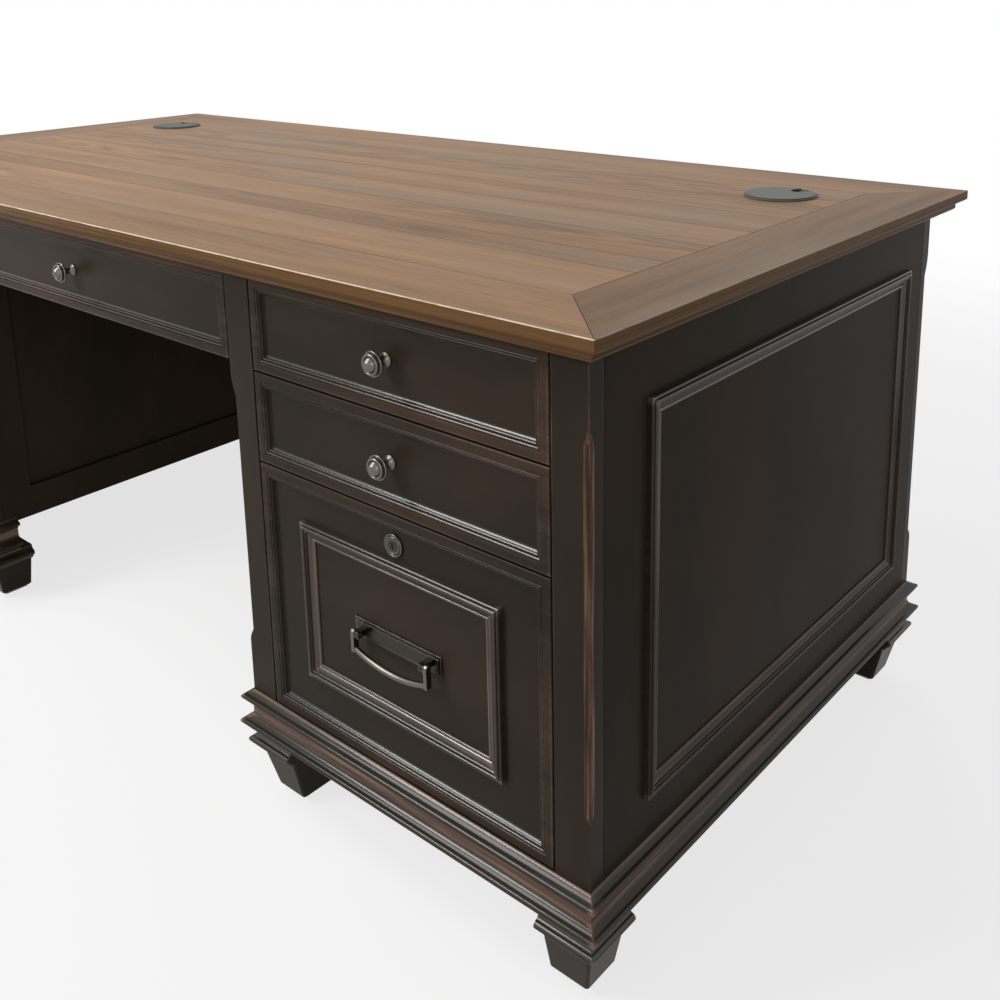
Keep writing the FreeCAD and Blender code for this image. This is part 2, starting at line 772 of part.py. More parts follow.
def runner_cleats(level):
    """Spacers of the right pedestal that bring a drawer's slides flush with the stiles."""
    low = level - CLEAT_HEIGHT / 2
    back = front_back + SLIDE_SETBACK + SLIDE_LENGTH
    inner = case_inner + PANEL_THICKNESS
    outer = case_outer - PANEL_THICKNESS
    return [
        block((inner, stile_back, low), (opening_inner, back, low + CLEAT_HEIGHT)),
        block((opening_outer, stile_back, low), (outer, back, low + CLEAT_HEIGHT)),
    ]


def file_rails(middle, top):
    """Pair of rails for hanging files, between the front and back of the box, level with its top."""
    first = front_back + BOX_WALL
    last = front_back + BOX_DEPTH - BOX_WALL
    lefts = [middle + side * FILE_RAIL_SPACING / 2 - FILE_RAIL_WIDTH / 2 for side in (-1, 1)]
    return [
        block((left, first, top - FILE_RAIL_HEIGHT), (left + FILE_RAIL_WIDTH, last, top))
        for left in lefts
    ]


# Knobs, pulls and locks


def knob(middle, level):
    """Round knob with a flared base, a narrow neck and a ringed head."""
    outline = scaled_outline(KNOB_SHARES, KNOB_RADIUS, KNOB_PROJECTION)
    outline.append(dome(outline[-1][0], outline[-1][1], KNOB_PROJECTION))
    return turned(outline, Vector(middle, front_face, level), -Y_AXIS)


def pull_level():
    """Height of a bail pull's backplate, with room in the frame for the plate and the hanging bail."""
    below = PULL_POST / 2 - PULL_RAISE + BAIL_DROP + BAIL_BOW + BAIL_BAR_RADIUS
    lowest = file_frame_low + MOULDING_WIDTH + PULL_CLEARANCE + below
    highest = file_frame_top - MOULDING_WIDTH - PULL_CLEARANCE - PULL_HEIGHT / 2
    return lowest + PULL_PLACE_SHARE * (highest - lowest)


def bail_axis():
    """Height and depth of the line that a bail swings about."""
    depth = front_face - PULL_POST_PROJECTION + PULL_POST / 2
    return depth, pull_level() + PULL_RAISE - PULL_POST / 2


def post_offset():
    """Distance from the middle of a pull to the middle of a post, inside the bail's arms."""
    return BAIL_SPAN / 2 - BAIL_ARM / 2 - BAIL_SIDE_PLAY - PULL_POST / 2


def pull_plate(middle):
    """Stepped backplate with two square posts, bored for the bail's pins."""
    level = pull_level()
    half = PULL_LENGTH / 2
    inner = half - PULL_STEP_INSET
    low = level - PULL_HEIGHT / 2
    base = block((middle - half, front_face - PULL_BASE, low), (middle + half, front_face, low + PULL_HEIGHT))
    step = block(
        (middle - inner, front_face - PULL_BASE - PULL_STEP, low + PULL_STEP_INSET),
        (middle + inner, front_face - PULL_BASE, low + PULL_HEIGHT - PULL_STEP_INSET),
    )
    depth, axis_level = bail_axis()
    posts = []
    bores = []
    for side in (-1, 1):
        x = middle + side * post_offset()
        posts.append(
            block(
                (x - PULL_POST / 2, front_face - PULL_POST_PROJECTION, axis_level - PULL_POST / 2),
                (x + PULL_POST / 2, front_face, axis_level + PULL_POST / 2),
            )
        )
        start = Vector(x - PULL_POST, depth, axis_level)
        bores.append(Part.makeCylinder(BAIL_PIN_RADIUS + BAIL_PLAY, PULL_POST * 2, start, X_AXIS))
    return base.multiFuse([step] + posts).removeSplitter().cut(bores)


def bail(middle):
    """Swinging bail: two flat arms with pins in the posts, and a bowed bar between them."""
    depth, level = bail_axis()
    taper = BAIL_EYE_RADIUS * BAIL_TAPER_SHARE
    low = level - BAIL_DROP - BAIL_BAR_RADIUS
    outline = [
        (BAIL_EYE_RADIUS, level),
        ((0, level + BAIL_EYE_RADIUS), (-BAIL_EYE_RADIUS, level)),
        (-taper, low),
        (taper, low),
    ]
    pieces = []
    for side in (-1, 1):
        left = middle + side * BAIL_SPAN / 2 - BAIL_ARM / 2
        face = outline_face(outline, lambda y, z: Vector(left, depth + y, z))
        pieces.append(face.extrude(X_AXIS * BAIL_ARM))
        pin = Vector(middle + side * BAIL_SPAN / 2, depth, level)
        reach = BAIL_ARM / 2 + BAIL_SIDE_PLAY + PULL_POST
        pieces.append(Part.makeCylinder(BAIL_PIN_RADIUS, reach, pin, X_AXIS * -side))
    ends = [Vector(middle + side * BAIL_SPAN / 2, depth, level - BAIL_DROP) for side in (-1, 1)]
    lowest = Vector(middle, depth, level - BAIL_DROP - BAIL_BOW)
    path = Part.Arc(ends[0], lowest, ends[1]).toShape()
    section = Part.Wire(Part.makeCircle(BAIL_BAR_RADIUS, ends[0], path.tangentAt(path.FirstParameter)))
    bar = Part.Wire(path).makePipeShell([section], True, False)
    return bar.multiFuse(pieces).removeSplitter()


def lock_tail():
    """Depth of the lock body's inner end, behind the lock rail."""
    return front_back + LOCK_TAIL


def lock_housing(middle):
    """Lock body through the drawer front, with a ringed bezel."""
    bore = LOCK_PLUG_RADIUS + LOCK_PLUG_PLAY
    length = lock_tail() - front_face
    outline = scaled_outline(BEZEL_SHARES, LOCK_BEZEL_RADIUS, LOCK_BEZEL_THICKNESS)
    outline += [(bore, LOCK_BEZEL_THICKNESS * BEZEL_SHARES[-1][1][1]), (bore, -length)]
    outline += [(LOCK_BODY_RADIUS, -length), (LOCK_BODY_RADIUS, 0)]
    return turned(outline, Vector(middle, front_face, lock_height), -Y_AXIS)


def lock_plug(middle):
    """Turning plug with a keyway in its face and a cam behind the drawer front."""
    face_depth = front_face - LOCK_BEZEL_THICKNESS
    cam_depth = lock_tail() + CAM_PLAY
    centre = Vector(middle, face_depth, lock_height)
    plug = Part.makeCylinder(LOCK_PLUG_RADIUS, cam_depth - face_depth, centre, Y_AXIS)
    half = CAM_WIDTH / 2
    root = half * CAM_ROOT_SHARE
    outline = [
        (0, half),
        ((-half, 0), (0, -half)),
        (CAM_LENGTH - root, -root),
        ((CAM_LENGTH, 0), (CAM_LENGTH - root, root)),
    ]
    cam_face = outline_face(outline, lambda x, z: Vector(middle + x, cam_depth, lock_height + z))
    cam = cam_face.extrude(Y_AXIS * CAM_THICKNESS)
    keyway = block(
        (
            middle - LOCK_KEYWAY_WIDTH / 2,
            face_depth - CUT_OVERRUN,
            lock_height - LOCK_KEYWAY_LENGTH / 2,
        ),
        (
            middle + LOCK_KEYWAY_WIDTH / 2,
            face_depth + LOCK_KEYWAY_DEPTH,
            lock_height + LOCK_KEYWAY_LENGTH / 2,
        ),
    )
    return plug.fuse(cam).removeSplitter().cut(keyway)


# Assembly


def pedestal_drawers(side_name, middle):
    """Nodes of one pedestal's three drawers, and the heights of their slides."""
    nodes = {}
    levels = []
    front_width = (opening_half - FRONT_GAP) * 2
    box_width = (opening_half - SLIDE_SPACE) * 2
    for drawer_name, low, high, headroom in (
        ("upper", upper_low, front_top, SHALLOW_BOX_HEADROOM),
        ("middle", middle_low, middle_top, SHALLOW_BOX_HEADROOM),
        ("file", file_low, file_top, FILE_BOX_HEADROOM),
    ):
        name = f"{side_name}_{drawer_name}"
        box_low = low + BOX_LIFT
        box_height = high - headroom - box_low
        level = box_low + box_height * SLIDE_PLACE_SHARE
        levels.append(level)
        nodes[f"{name}_drawer_box"] = drawer_box(middle, box_width, box_low, box_height)
        nodes[f"{name}_slide_members"] = drawer_members(middle, opening_half, level)
        if drawer_name == "file":
            nodes[f"{name}_drawer_front"] = file_front(middle, front_width)
            nodes[f"{name}_frame_moulding"] = file_moulding(middle)
            nodes[f"{name}_hanging_rails"] = file_rails(middle, high - headroom)
            nodes[f"{name}_pull_plate"] = pull_plate(middle)
            nodes[f"{name}_pull_bail"] = bail(middle)
            nodes[f"{name}_lock_housing"] = lock_housing(middle)
            nodes[f"{name}_lock_plug"] = lock_plug(middle)
        else:
            nodes[f"{name}_drawer_front"] = drawer_front(middle, front_width, low, high)
            nodes[f"{name}_knob"] = knob(middle, (low + high) / 2)
    return nodes, levels


def centre_drawer():
    """Nodes of the drawer over the kneehole, and the height of its slides."""
    box_low = centre_low + BOX_LIFT
    box_height = front_top - CENTRE_BOX_HEADROOM - box_low
    level = box_low + box_height * SLIDE_PLACE_SHARE
    box_width = (case_inner - SLIDE_SPACE) * 2
    nodes = {
        "centre_drawer_front": drawer_front(0, (case_inner - FRONT_GAP) * 2, centre_low, front_top),
        "centre_drawer_box": drawer_box(0, box_width, box_low, box_height),
        "centre_slide_members": drawer_members(0, case_inner, level),
        "centre_knob": knob(0, (centre_low + front_top) / 2),
    }
    return nodes, level


def both_sides(pieces):
    """Right-hand pieces with their left-hand mirror images."""
    return pieces + [mirrored(piece) for piece in pieces]


def desk_nodes():
    """Every piece of the desk by name."""
    nodes = {"top_field": top_field()}
    nodes.update(top_rails())
    right_drawers, levels = pedestal_drawers("right", pedestal_middle)
    left_drawers, _ = pedestal_drawers("left", -pedestal_middle)
    centre_nodes, centre_level = centre_drawer()
    nodes.update(right_drawers)
    nodes.update(left_drawers)
    nodes.update(centre_nodes)
    cleats = []
    members = []
    for level in levels:
        cleats.extend(runner_cleats(level))
        members.extend(cabinet_members(pedestal_middle, opening_half, level))
    nodes["runner_cleats"] = both_sides(cleats)
    nodes["slide_cabinet_members"] = both_sides(members) + cabinet_members(0, case_inner, centre_level)
    nodes["corner_posts"] = both_sides(corner_posts())
    nodes["side_panels"] = both_sides([side_panel()])
    nodes["side_mouldings"] = both_sides(side_moulding())
    nodes["kneehole_panels"] = both_sides([kneehole_panel()])
    nodes["back_panels"] = both_sides([back_panel()])
    nodes["back_mouldings"] = back_mouldings()
    nodes["modesty_panel"] = modesty_panel()
    nodes["pedestal_bottoms"] = both_sides([pedestal_bottom()])
    nodes["case_rails"] = both_sides(case_rails())
    nodes["base_mouldings"] = both_sides(base_moulding())
    nodes["feet"] = both_sides(at_corners(foot()))
    nodes["floor_glides"] = both_sides(at_corners(floor_glide()))
    nodes["grommet_liners"] = both_sides([grommet_liner()])
    nodes["right_grommet_cap"] = grommet_cap()
    nodes["left_grommet_cap"] = mirrored(grommet_cap())
    return nodes


def main():
    """Write each piece, or group of like pieces, to its own file."""
    os.makedirs("parts", exist_ok=True)
    for name, pieces in desk_nodes().items():
        shape = Part.makeCompound(pieces) if isinstance(pieces, list) else pieces
        shape.exportStep(f"parts/{name}.step")


main()
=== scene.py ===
import logging
import math
from dataclasses import dataclass
from enum import Enum
from itertools import accumulate
from typing import Dict, List, Mapping, NamedTuple, Optional, Sequence, Tuple, Union

import bpy
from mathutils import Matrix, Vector

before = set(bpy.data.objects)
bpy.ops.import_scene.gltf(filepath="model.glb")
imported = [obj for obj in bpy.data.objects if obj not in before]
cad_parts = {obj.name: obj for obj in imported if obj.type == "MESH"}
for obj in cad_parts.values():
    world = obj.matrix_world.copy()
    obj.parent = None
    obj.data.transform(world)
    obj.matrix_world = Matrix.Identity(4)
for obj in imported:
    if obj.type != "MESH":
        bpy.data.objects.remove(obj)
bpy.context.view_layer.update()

LOG = logging.getLogger("desk")
MM = 0.001

Colour = Tuple[float, float, float]
Point = Tuple[float, float, float]
# The two values that give 0 and 1 in a soft step.
Fade = Tuple[float, float]


def srgb(red: int, green: int, blue: int) -> Colour:
    """A colour given by its screen values, as scene-linear light.

    Args:
        red: Screen value from 0 to 255.
        green: Screen value from 0 to 255.
        blue: Screen value from 0 to 255.

    Returns:
        The three linear values.
    """

    def linear(value: int) -> float:
        """One channel."""
        share = value / 255
        return share / 12.92 if share <= 0.04045 else ((share + 0.055) / 1.055) ** 2.4

    return linear(red), linear(green), linear(blue)


def mesh_points(piece: str) -> List[Vector]:
    """The points of a piece's mesh, in metres."""
    return [vertex.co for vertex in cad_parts[piece].data.vertices]


class Term:
    """A socket of a material that can be used in arithmetic."""

    def __init__(self, graph: "Graph", socket: bpy.types.NodeSocket) -> None:
        """Keeps the socket and the graph it belongs to."""
        self.graph = graph
        self.socket = socket

    def apply(self, operation: str, *others: "Operand") -> "Term":
        """A Math node on this value.

        Args:
            operation: The Math node's operation.
            others: Its further values.

        Returns:
            The result.
        """
        values = dict(enumerate((self, *others)))
        return self.graph.node("ShaderNodeMath", {"operation": operation}, values)[0]

    def __add__(self, other: "Operand") -> "Term":
        """Sum."""
        return self.apply("ADD", other)

    __radd__ = __add__

    def __sub__(self, other: "Operand") -> "Term":
        """Difference."""
        return self.apply("SUBTRACT", other)

    def __rsub__(self, other: "Operand") -> "Term":
        """Difference from a plain value."""
        settings = {"operation": "SUBTRACT"}
        return self.graph.node("ShaderNodeMath", settings, {0: other, 1: self})[0]

    def __mul__(self, other: "Operand") -> "Term":
        """Product."""
        return self.apply("MULTIPLY", other)

    __rmul__ = __mul__

    def __gt__(self, other: "Operand") -> "Term":
        """1 where this value is the greater, else 0."""
        return self.apply("GREATER_THAN", other)

    def __abs__(self) -> "Term":
        """Size without sign."""
        return self.apply("ABSOLUTE")

    def least(self, other: "Operand") -> "Term":
        """The smaller of two values."""
        return self.apply("MINIMUM", other)

    def greatest(self, other: "Operand") -> "Term":
        """The greater of two values."""
        return self.apply("MAXIMUM", other)

    def sine(self) -> "Term":
        """Sine of this value."""
        return self.apply("SINE")

    def root(self) -> "Term":
        """Square root of this value."""
        return self.apply("SQRT")

    def about(self, middle: float, spread: float) -> "Term":
        """A value from 0 to 1 turned into a spread about a middle value."""
        return self * spread + (middle - spread / 2)

    def ramp(self, low: float, high: float) -> "Term":
        """A soft step.

        Args:
            low: The value that gives 0.
            high: The value that gives 1, which may be the lower of the two.

        Returns:
            A value from 0 to 1.
        """
        settings = {"interpolation_type": "SMOOTHSTEP"}
        inputs = {"Value": self, "From Min": low, "From Max": high, "To Min": 0.0, "To Max": 1.0}
        if low > high:
            inputs.update({"From Min": high, "From Max": low, "To Min": 1.0, "To Max": 0.0})
        return self.graph.node("ShaderNodeMapRange", settings, inputs)[0]


Operand = Union[Term, float]
Input = Union[Term, float, Sequence[float]]
Key = Union[int, str]


class Made:
    """A node that has been added to a graph."""

    def __init__(self, graph: "Graph", node: bpy.types.Node) -> None:
        """Keeps the node and its graph."""
        self.graph = graph
        self.node = node

    def __getitem__(self, key: Key) -> Term:
        """One of the node's outputs, by place, identifier or name."""
        return Term(self.graph, find_socket(self.node.outputs, key))


def find_socket(sockets: bpy.types.bpy_prop_collection, key: Key) -> bpy.types.NodeSocket:
    """A socket by place, identifier or name.

    Args:
        sockets: The inputs or outputs of a node.
        key: What to look for.

    Returns:
        The socket.
    """
    if isinstance(key, int):
        return sockets[key]
    for socket in sockets:
        if socket.identifier == key:
            return socket
    return sockets[key]


class Graph:
    """The node tree of one material or world."""

    def __init__(self, tree: bpy.types.NodeTree) -> None:
        """Empties the tree."""
        self.tree = tree
        tree.nodes.clear()

    def node(
        self,
        kind: str,
        settings: Optional[Mapping[str, object]] = None,
        inputs: Optional[Mapping[Key, Input]] = None,
    ) -> Made:
        """Adds a node.

        Args:
            kind: The node's type.
            settings: What to set before its sockets; stops are a colour ramp's places and colours.
            inputs: Values or links of its sockets, by place, identifier or name.

        Returns:
            The node.
        """
        node = self.tree.nodes.new(kind)
        for name, value in (settings or {}).items():
            if name == "stops":
                self.set_stops(node, value)
            else:
                setattr(node, name, value)
        for key, value in (inputs or {}).items():
            socket = find_socket(node.inputs, key)
            if isinstance(value, Term):
                self.tree.links.new(value.socket, socket)
            else:
                socket.default_value = value
        return Made(self, node)

    @staticmethod
    def set_stops(node: bpy.types.Node, stops: Sequence[Tuple[float, Colour]]) -> None:
        """Sets a colour ramp.

        Args:
            node: The Color Ramp node.
            stops: Places from 0 to 1 with their colours.
        """
        elements = node.color_ramp.elements
        while len(elements) < len(stops):
            elements.new(0.5)
        for element, (place, colour) in zip(elements, stops):
            element.position = place
            element.color = (*colour, 1.0)

    def mix(self, share: Operand, first: Input, second: Input) -> Term:
        """Blends two colours.

        Args:
            share: 0 for the first colour, 1 for the second.
            first: A colour.
            second: A colour.

        Returns:
            The blended colour.
        """

        def full(value: Input) -> Input:
            """A plain colour with its alpha."""
            return value if isinstance(value, Term) else (*value, 1.0)

        inputs = {"Factor_Float": share, "A_Color": full(first), "B_Color": full(second)}
        return self.node("ShaderNodeMix", {"data_type": "RGBA"}, inputs)["Result_Color"]

    def coordinate(self, kind: str) -> Tuple[Term, Term, Term]:
        """One of a piece's own coordinates, which stay with the piece as it moves.

        Args:
            kind: The Texture Coordinate node's output.

        Returns:
            Its three parts.
        """
        whole = self.node("ShaderNodeTexCoord")[kind]
        parts = self.node("ShaderNodeSeparateXYZ", inputs={0: whole})
        return parts[0], parts[1], parts[2]

    def place(self) -> Tuple[Term, Term, Term]:
        """Where a point is on its own piece, in metres."""
        return self.coordinate("Object")

    def share_up(self) -> Term:
        """How far up its own piece a point is, from 0 at the foot to 1 at the head."""
        return self.coordinate("Generated")[2]

    def upward(self) -> Term:
        """How far a face looks up on its own piece: 1 up, 0 sideways, below 0 down."""
        return self.coordinate("Normal")[2]

    def facing(self) -> Tuple[Term, Term, Term]:
        """How far a face looks along its piece's three directions, without sign."""
        wide, deep, high = self.coordinate("Normal")
        return abs(wide), abs(deep), abs(high)

    def point(self, x: Operand, y: Operand, z: Operand) -> Term:
        """Joins three values."""
        return self.node("ShaderNodeCombineXYZ", inputs={0: x, 1: y, 2: z})[0]

    def noise(self, where: Term, scale: float, detail: float = 2.0, roughness: float = 0.5) -> Term:
        """Soft noise from 0 to 1.

        Args:
            where: The place to read it at.
            scale: How many swells it has per unit.
            detail: How many finer layers are added.
            roughness: How strong those layers are.

        Returns:
            The noise.
        """
        inputs = {"Vector": where, "Scale": scale, "Detail": detail, "Roughness": roughness}
        return self.node("ShaderNodeTexNoise", {"noise_dimensions": "3D"}, inputs)[0]

    def chance(self, value: Operand) -> Term:
        """A fixed random number from 0 to 1 for each value."""
        return self.node("ShaderNodeTexWhiteNoise", {"noise_dimensions": "1D"}, {"W": value})[0]

    def worn_edge(self, reach: float, samples: int = 8) -> Term:
        """1 on outward edges and ridges, falling to 0 at the given distance from them."""
        settings = {"inside": True, "only_local": True, "samples": samples}
        return 1.0 - self.node("ShaderNodeAmbientOcclusion", settings, {"Distance": reach})["AO"]

    def hollow(self, reach: float, samples: int = 8) -> Term:
        """1 in inward corners, falling to 0 at the given distance from them."""
        settings = {"inside": False, "only_local": False, "samples": samples}
        return 1.0 - self.node("ShaderNodeAmbientOcclusion", settings, {"Distance": reach})["AO"]

    def rounded(self, radius: float) -> Term:
        """The surface's direction with its edges softened."""
        return self.node("ShaderNodeBevel", {"samples": 6}, {"Radius": radius})[0]

    def relief(self, height: Term, strength: float, depth: float, edge_radius: float) -> Term:
        """The surface's direction with fine relief and softened edges.

        Args:
            height: The relief, from 0 to 1.
            strength: How much of it shows.
            depth: Its full height.
            edge_radius: The radius of the edges.

        Returns:
            The direction.
        """
        inputs = {
            "Strength": strength,
            "Distance": depth,
            "Height": height,
            "Normal": self.rounded(edge_radius),
        }
        return self.node("ShaderNodeBump", inputs=inputs)[0]

    def surface(self, inputs: Mapping[Key, Input]) -> None:
        """Ends a material in a Principled surface.

        Args:
            inputs: Its sockets' values or links.
        """
        shader = self.node("ShaderNodeBsdfPrincipled", inputs=inputs)
        self.node("ShaderNodeOutputMaterial", inputs={"Surface": shader["BSDF"]})


def new_material(name: str) -> Tuple[bpy.types.Material, Graph]:
    """An empty material and its graph.

    Args:
        name: The material's name.

    Returns:
        Both.
    """
    material = bpy.data.materials.new(name)
    material.use_nodes = True
    return material, Graph(material.node_tree)


class Grain(Enum):
    """The direction that a board's fibres run in."""

    LENGTHWAYS = "X"
    FRONT_TO_BACK = "Y"
    UPRIGHT = "Z"
    WITH_THE_RUN = "run"


class Board(NamedTuple):
    """A point's place on a board, in metres: along its fibres, across them and through it."""

    along: Term
    across: Term
    through: Term


def along_run(graph: Graph, leeway: float = 0.02) -> Board:
    """A point's place on a moulding, whose runs go in all three directions.

    Args:
        graph: The material's graph.
        leeway: How far a face of a run may look along it.

    Returns:
        The place, along the direction that the moulding's faces look in least.
    """
    x, y, z = graph.place()
    wide, deep, high = graph.facing()
    on_x = (deep.least(high) + leeway) > wide
    on_y = (1.0 - on_x) * ((wide.least(high) + leeway) > deep)
    on_z = 1.0 - on_x - on_y
    return Board(
        x * on_x + y * on_y + z * on_z,
        y * on_x + z * on_y + x * on_z,
        z * on_x + x * on_y + y * on_z,
    )


def along_grain(graph: Graph, grain: Grain) -> Board:
    """A point's place on a board.

    Args:
        graph: The material's graph.
        grain: The fibres' direction.

    Returns:
        The place.
    """
    if grain is Grain.WITH_THE_RUN:
        return along_run(graph)
    x, y, z = graph.place()
    return {
        Grain.LENGTHWAYS: Board(x, y, z),
        Grain.FRONT_TO_BACK: Board(y, x, z),
        Grain.UPRIGHT: Board(z, x, y),
    }[grain]


@dataclass(frozen=True)
class Pattern:
    """Noise drawn out along a board's fibres, given by its swells per metre along and across.

    A pattern with slices is the same all through the board, and a number picks its slice.
    """

    along: float
    across: float
    detail: float = 2.0
    roughness: float = 0.5
    slices: float = 0.0

    def draw(self, graph: Graph, board: Board, pick: Optional[Operand] = None) -> Term:
        """The noise on a board.

        Args:
            graph: The material's graph.
            board: The place on the board.
            pick: The number that picks a slice, in place of the depth in the board.

        Returns:
            A value from 0 to 1.
        """
        depth = board.through * self.across if pick is None else pick * self.slices
        where = graph.point(board.along * self.along, board.across * self.across, depth)
        return graph.noise(where, 1.0, self.detail, self.roughness)


@dataclass(frozen=True)
class Mask:
    """How a value becomes a share of a colour: where it fades in, and how strong it gets."""

    fade: Fade
    strength: float

    def over(self, value: Term) -> Term:
        """The share, from 0 to the full strength."""
        return value.ramp(*self.fade) * self.strength


@dataclass(frozen=True)
class TopWood:
    """Warm brown veneer with streaked planks, under a satin lacquer."""

    name: str
    grain: Grain
    seams: Tuple[float, ...] = ()
    corner: Optional[Point] = None
    seed: float = 0.0
    # Shifts the tone. The end rails use it as painted shade, darker to stand in for how light falls
    # across their turned grain; the front rail is a little lighter.
    painted_light_shift: float = 0.0
    # How strong the pale arris line is; it is partly worn edge and partly painted highlight.
    worn: float = 0.8
    darkest: Colour = srgb(73, 51, 33)
    dark: Colour = srgb(120, 90, 62)
    light: Colour = srgb(153, 117, 83)
    lightest: Colour = srgb(178, 143, 105)
    ashen: Colour = srgb(132, 116, 98)
    # Colour that the upright faces of the moulded edge are darkened towards.
    upright_face_colour: Colour = srgb(88, 60, 30)
    # Pale arris colour, partly worn edge and partly painted highlight.
    arris: Colour = srgb(238, 222, 198)
    # Dark line colour of seams, layers and mitres; it is also the colour of the painted shade in
    # grooves.
    line: Colour = srgb(34, 23, 16)
    roughness: float = 0.42
    roughness_spread: float = 0.12
    gloss: float = 0.055
    streak: Pattern = Pattern(1.3, 26.0, 5.0, 0.6)
    fibre: Pattern = Pattern(12.0, 480.0, 3.0, 0.65)
    pores: Pattern = Pattern(16.0, 800.0, 1.0)
    drift: Pattern = Pattern(1.1, 5.0, slices=9.0)
    swirl: Pattern = Pattern(2.4, 16.0, 3.0, slices=5.0)
    patch: Pattern = Pattern(1.7, 9.0, slices=6.0)
    layers: Pattern = Pattern(2.0, 620.0, slices=3.0)
    seam_breaks: Pattern = Pattern(2.2, 5.0, 1.0)
    streak_weight: float = 0.50
    fibre_weight: float = 0.40
    ring_weight: float = 0.15
    plank_weight: float = 0.09
    base_tone: float = 0.25
    tone_stops: Tuple[float, ...] = (0.12, 0.36, 0.58, 0.86)
    plank_offset: float = 7.0
    luck_step: float = 17.3
    heart_wander: float = 0.05
    ring_spread: float = 1900.0
    ring_pace: float = 5.5
    ring_swirl: float = 4.2
    ring_fade: Fade = (0.42, 0.62)
    patch_mask: Mask = Mask((0.46, 0.72), 0.5)
    pore_mask: Mask = Mask((0.60, 0.76), 0.38)
    seam_mask: Mask = Mask((1.4 * MM, 0.5 * MM), 0.9)
    break_fade: Fade = (0.26, 0.44)
    upright_fade: Fade = (0.85, 0.45)
    upright_face_strength: float = 0.72
    layer_mask: Mask = Mask((0.50, 0.68), 0.5)
    groove_shade_reach: float = 4 * MM
    groove_shade_mask: Mask = Mask((0.25, 0.70), 0.85)
    mitre_mask: Mask = Mask((1.3 * MM, 0.5 * MM), 0.9)
    mitre_depth: float = 0.3 * MM
    arris_fade: Fade = (2.0 * MM, 0.9 * MM)
    arris_depth: float = 1.0 * MM
    rub_scale: float = 45.0
    rub_fade: Fade = (0.25, 0.55)
    fibre_strength: float = 0.12
    fibre_depth: float = 0.4 * MM
    edge_radius: float = 0.8 * MM

    def planks(self, across: Term) -> Tuple[Operand, Term, Optional[Term]]:
        """Which plank a point is on.

        Args:
            across: Distance across the fibres.

        Returns:
            The plank's number, the distance from its middle, and the distance to the nearest seam.
        """
        if not self.seams:
            return self.seed, across, None
        middles = [(a + b) / 2 for a, b in zip(self.seams, self.seams[1:])]
        number: Operand = self.seed
        middle: Operand = middles[0]
        nearest: Optional[Term] = None
        for seam, before, after in zip(self.seams[1:-1], middles, middles[1:]):
            beyond = across > seam
            number = beyond + number
            middle = beyond * (after - before) + middle
            gap = abs(across - seam)
            nearest = gap if nearest is None else nearest.least(gap)
        return number, across - middle, nearest

    def rings(self, graph: Graph, plank: Board, local: Term, luck: Term, other_luck: Term) -> Term:
        """The arched growth rings of a plank.

        Args:
            graph: The material's graph.
            plank: The place on the plank.
            local: Distance from the plank's middle.
            luck: A random number for each plank.
            other_luck: Another one.

        Returns:
            Their strength.
        """
        swirl = self.swirl.draw(graph, plank, luck)
        off_heart = local + other_luck.about(0.0, self.heart_wander)
        turns = (
            off_heart * off_heart * self.ring_spread
            + plank.along * self.ring_pace
            + swirl * self.ring_swirl
        )
        wave = (turns * (2 * math.pi)).sine() * 0.5 + 0.5
        return wave * self.drift.draw(graph, plank, luck).ramp(*self.ring_fade)

    def veneer(self, graph: Graph, board: Board) -> Tuple[Term, Term]:
        """Colour and fibres of the bare veneer.

        Args:
            graph: The material's graph.
            board: The place on the board.

        Returns:
            The colour, and the height of the fibres.
        """
        number, local, seam_gap = self.planks(board.across)
        luck = graph.chance(number)
        other_luck = graph.chance(number + self.luck_step)
        plank = board._replace(along=board.along + luck * self.plank_offset)
        fibre = self.fibre.draw(graph, plank)
        tone = (
            self.streak.draw(graph, plank) * self.streak_weight
            + fibre.about(0.0, self.fibre_weight)
            - self.rings(graph, plank, local, luck, other_luck) * self.ring_weight
            + luck.about(0.0, self.plank_weight)
            + (self.base_tone + self.painted_light_shift)
        )
        tones = (self.darkest, self.dark, self.light, self.lightest)
        stops = list(zip(self.tone_stops, tones))
        wood = graph.node("ShaderNodeValToRGB", {"stops": stops}, {0: tone})[0]
        patch = self.patch.draw(graph, plank, other_luck)
        wood = graph.mix(self.patch_mask.over(patch), wood, self.ashen)
        pores = self.pores.draw(graph, plank)
        wood = graph.mix(self.pore_mask.over(pores), wood, self.darkest)
        if seam_gap is not None:
            breaks = self.seam_breaks.draw(graph, board._replace(across=number), 0.0)
            seam = self.seam_mask.over(seam_gap) * breaks.ramp(*self.break_fade)
            wood = graph.mix(seam, wood, self.line)
        return wood, fibre

    def edge(self, graph: Graph, wood: Term, board: Board) -> Term:
        """Darkens the moulded edge's upright faces, shows its layers and paints shade in its grooves.

        Args:
            graph: The material's graph.
            wood: The veneer's colour.
            board: The place on the board.

        Returns:
            The colour with the edge.
        """
        _, _, level = graph.facing()
        # Upright faces are darkened towards their own colour.
        upright = level.ramp(*self.upright_fade)
        wood = graph.mix(upright * self.upright_face_strength, wood, self.upright_face_colour)
        layers = self.layers.draw(graph, board._replace(across=board.through), board.across)
        wood = graph.mix(upright * self.layer_mask.over(layers), wood, self.line)
        # Painted shade: grooves and inward corners are darkened towards the dark line colour.
        groove = graph.hollow(self.groove_shade_reach)
        return graph.mix(self.groove_shade_mask.over(groove), wood, self.line)

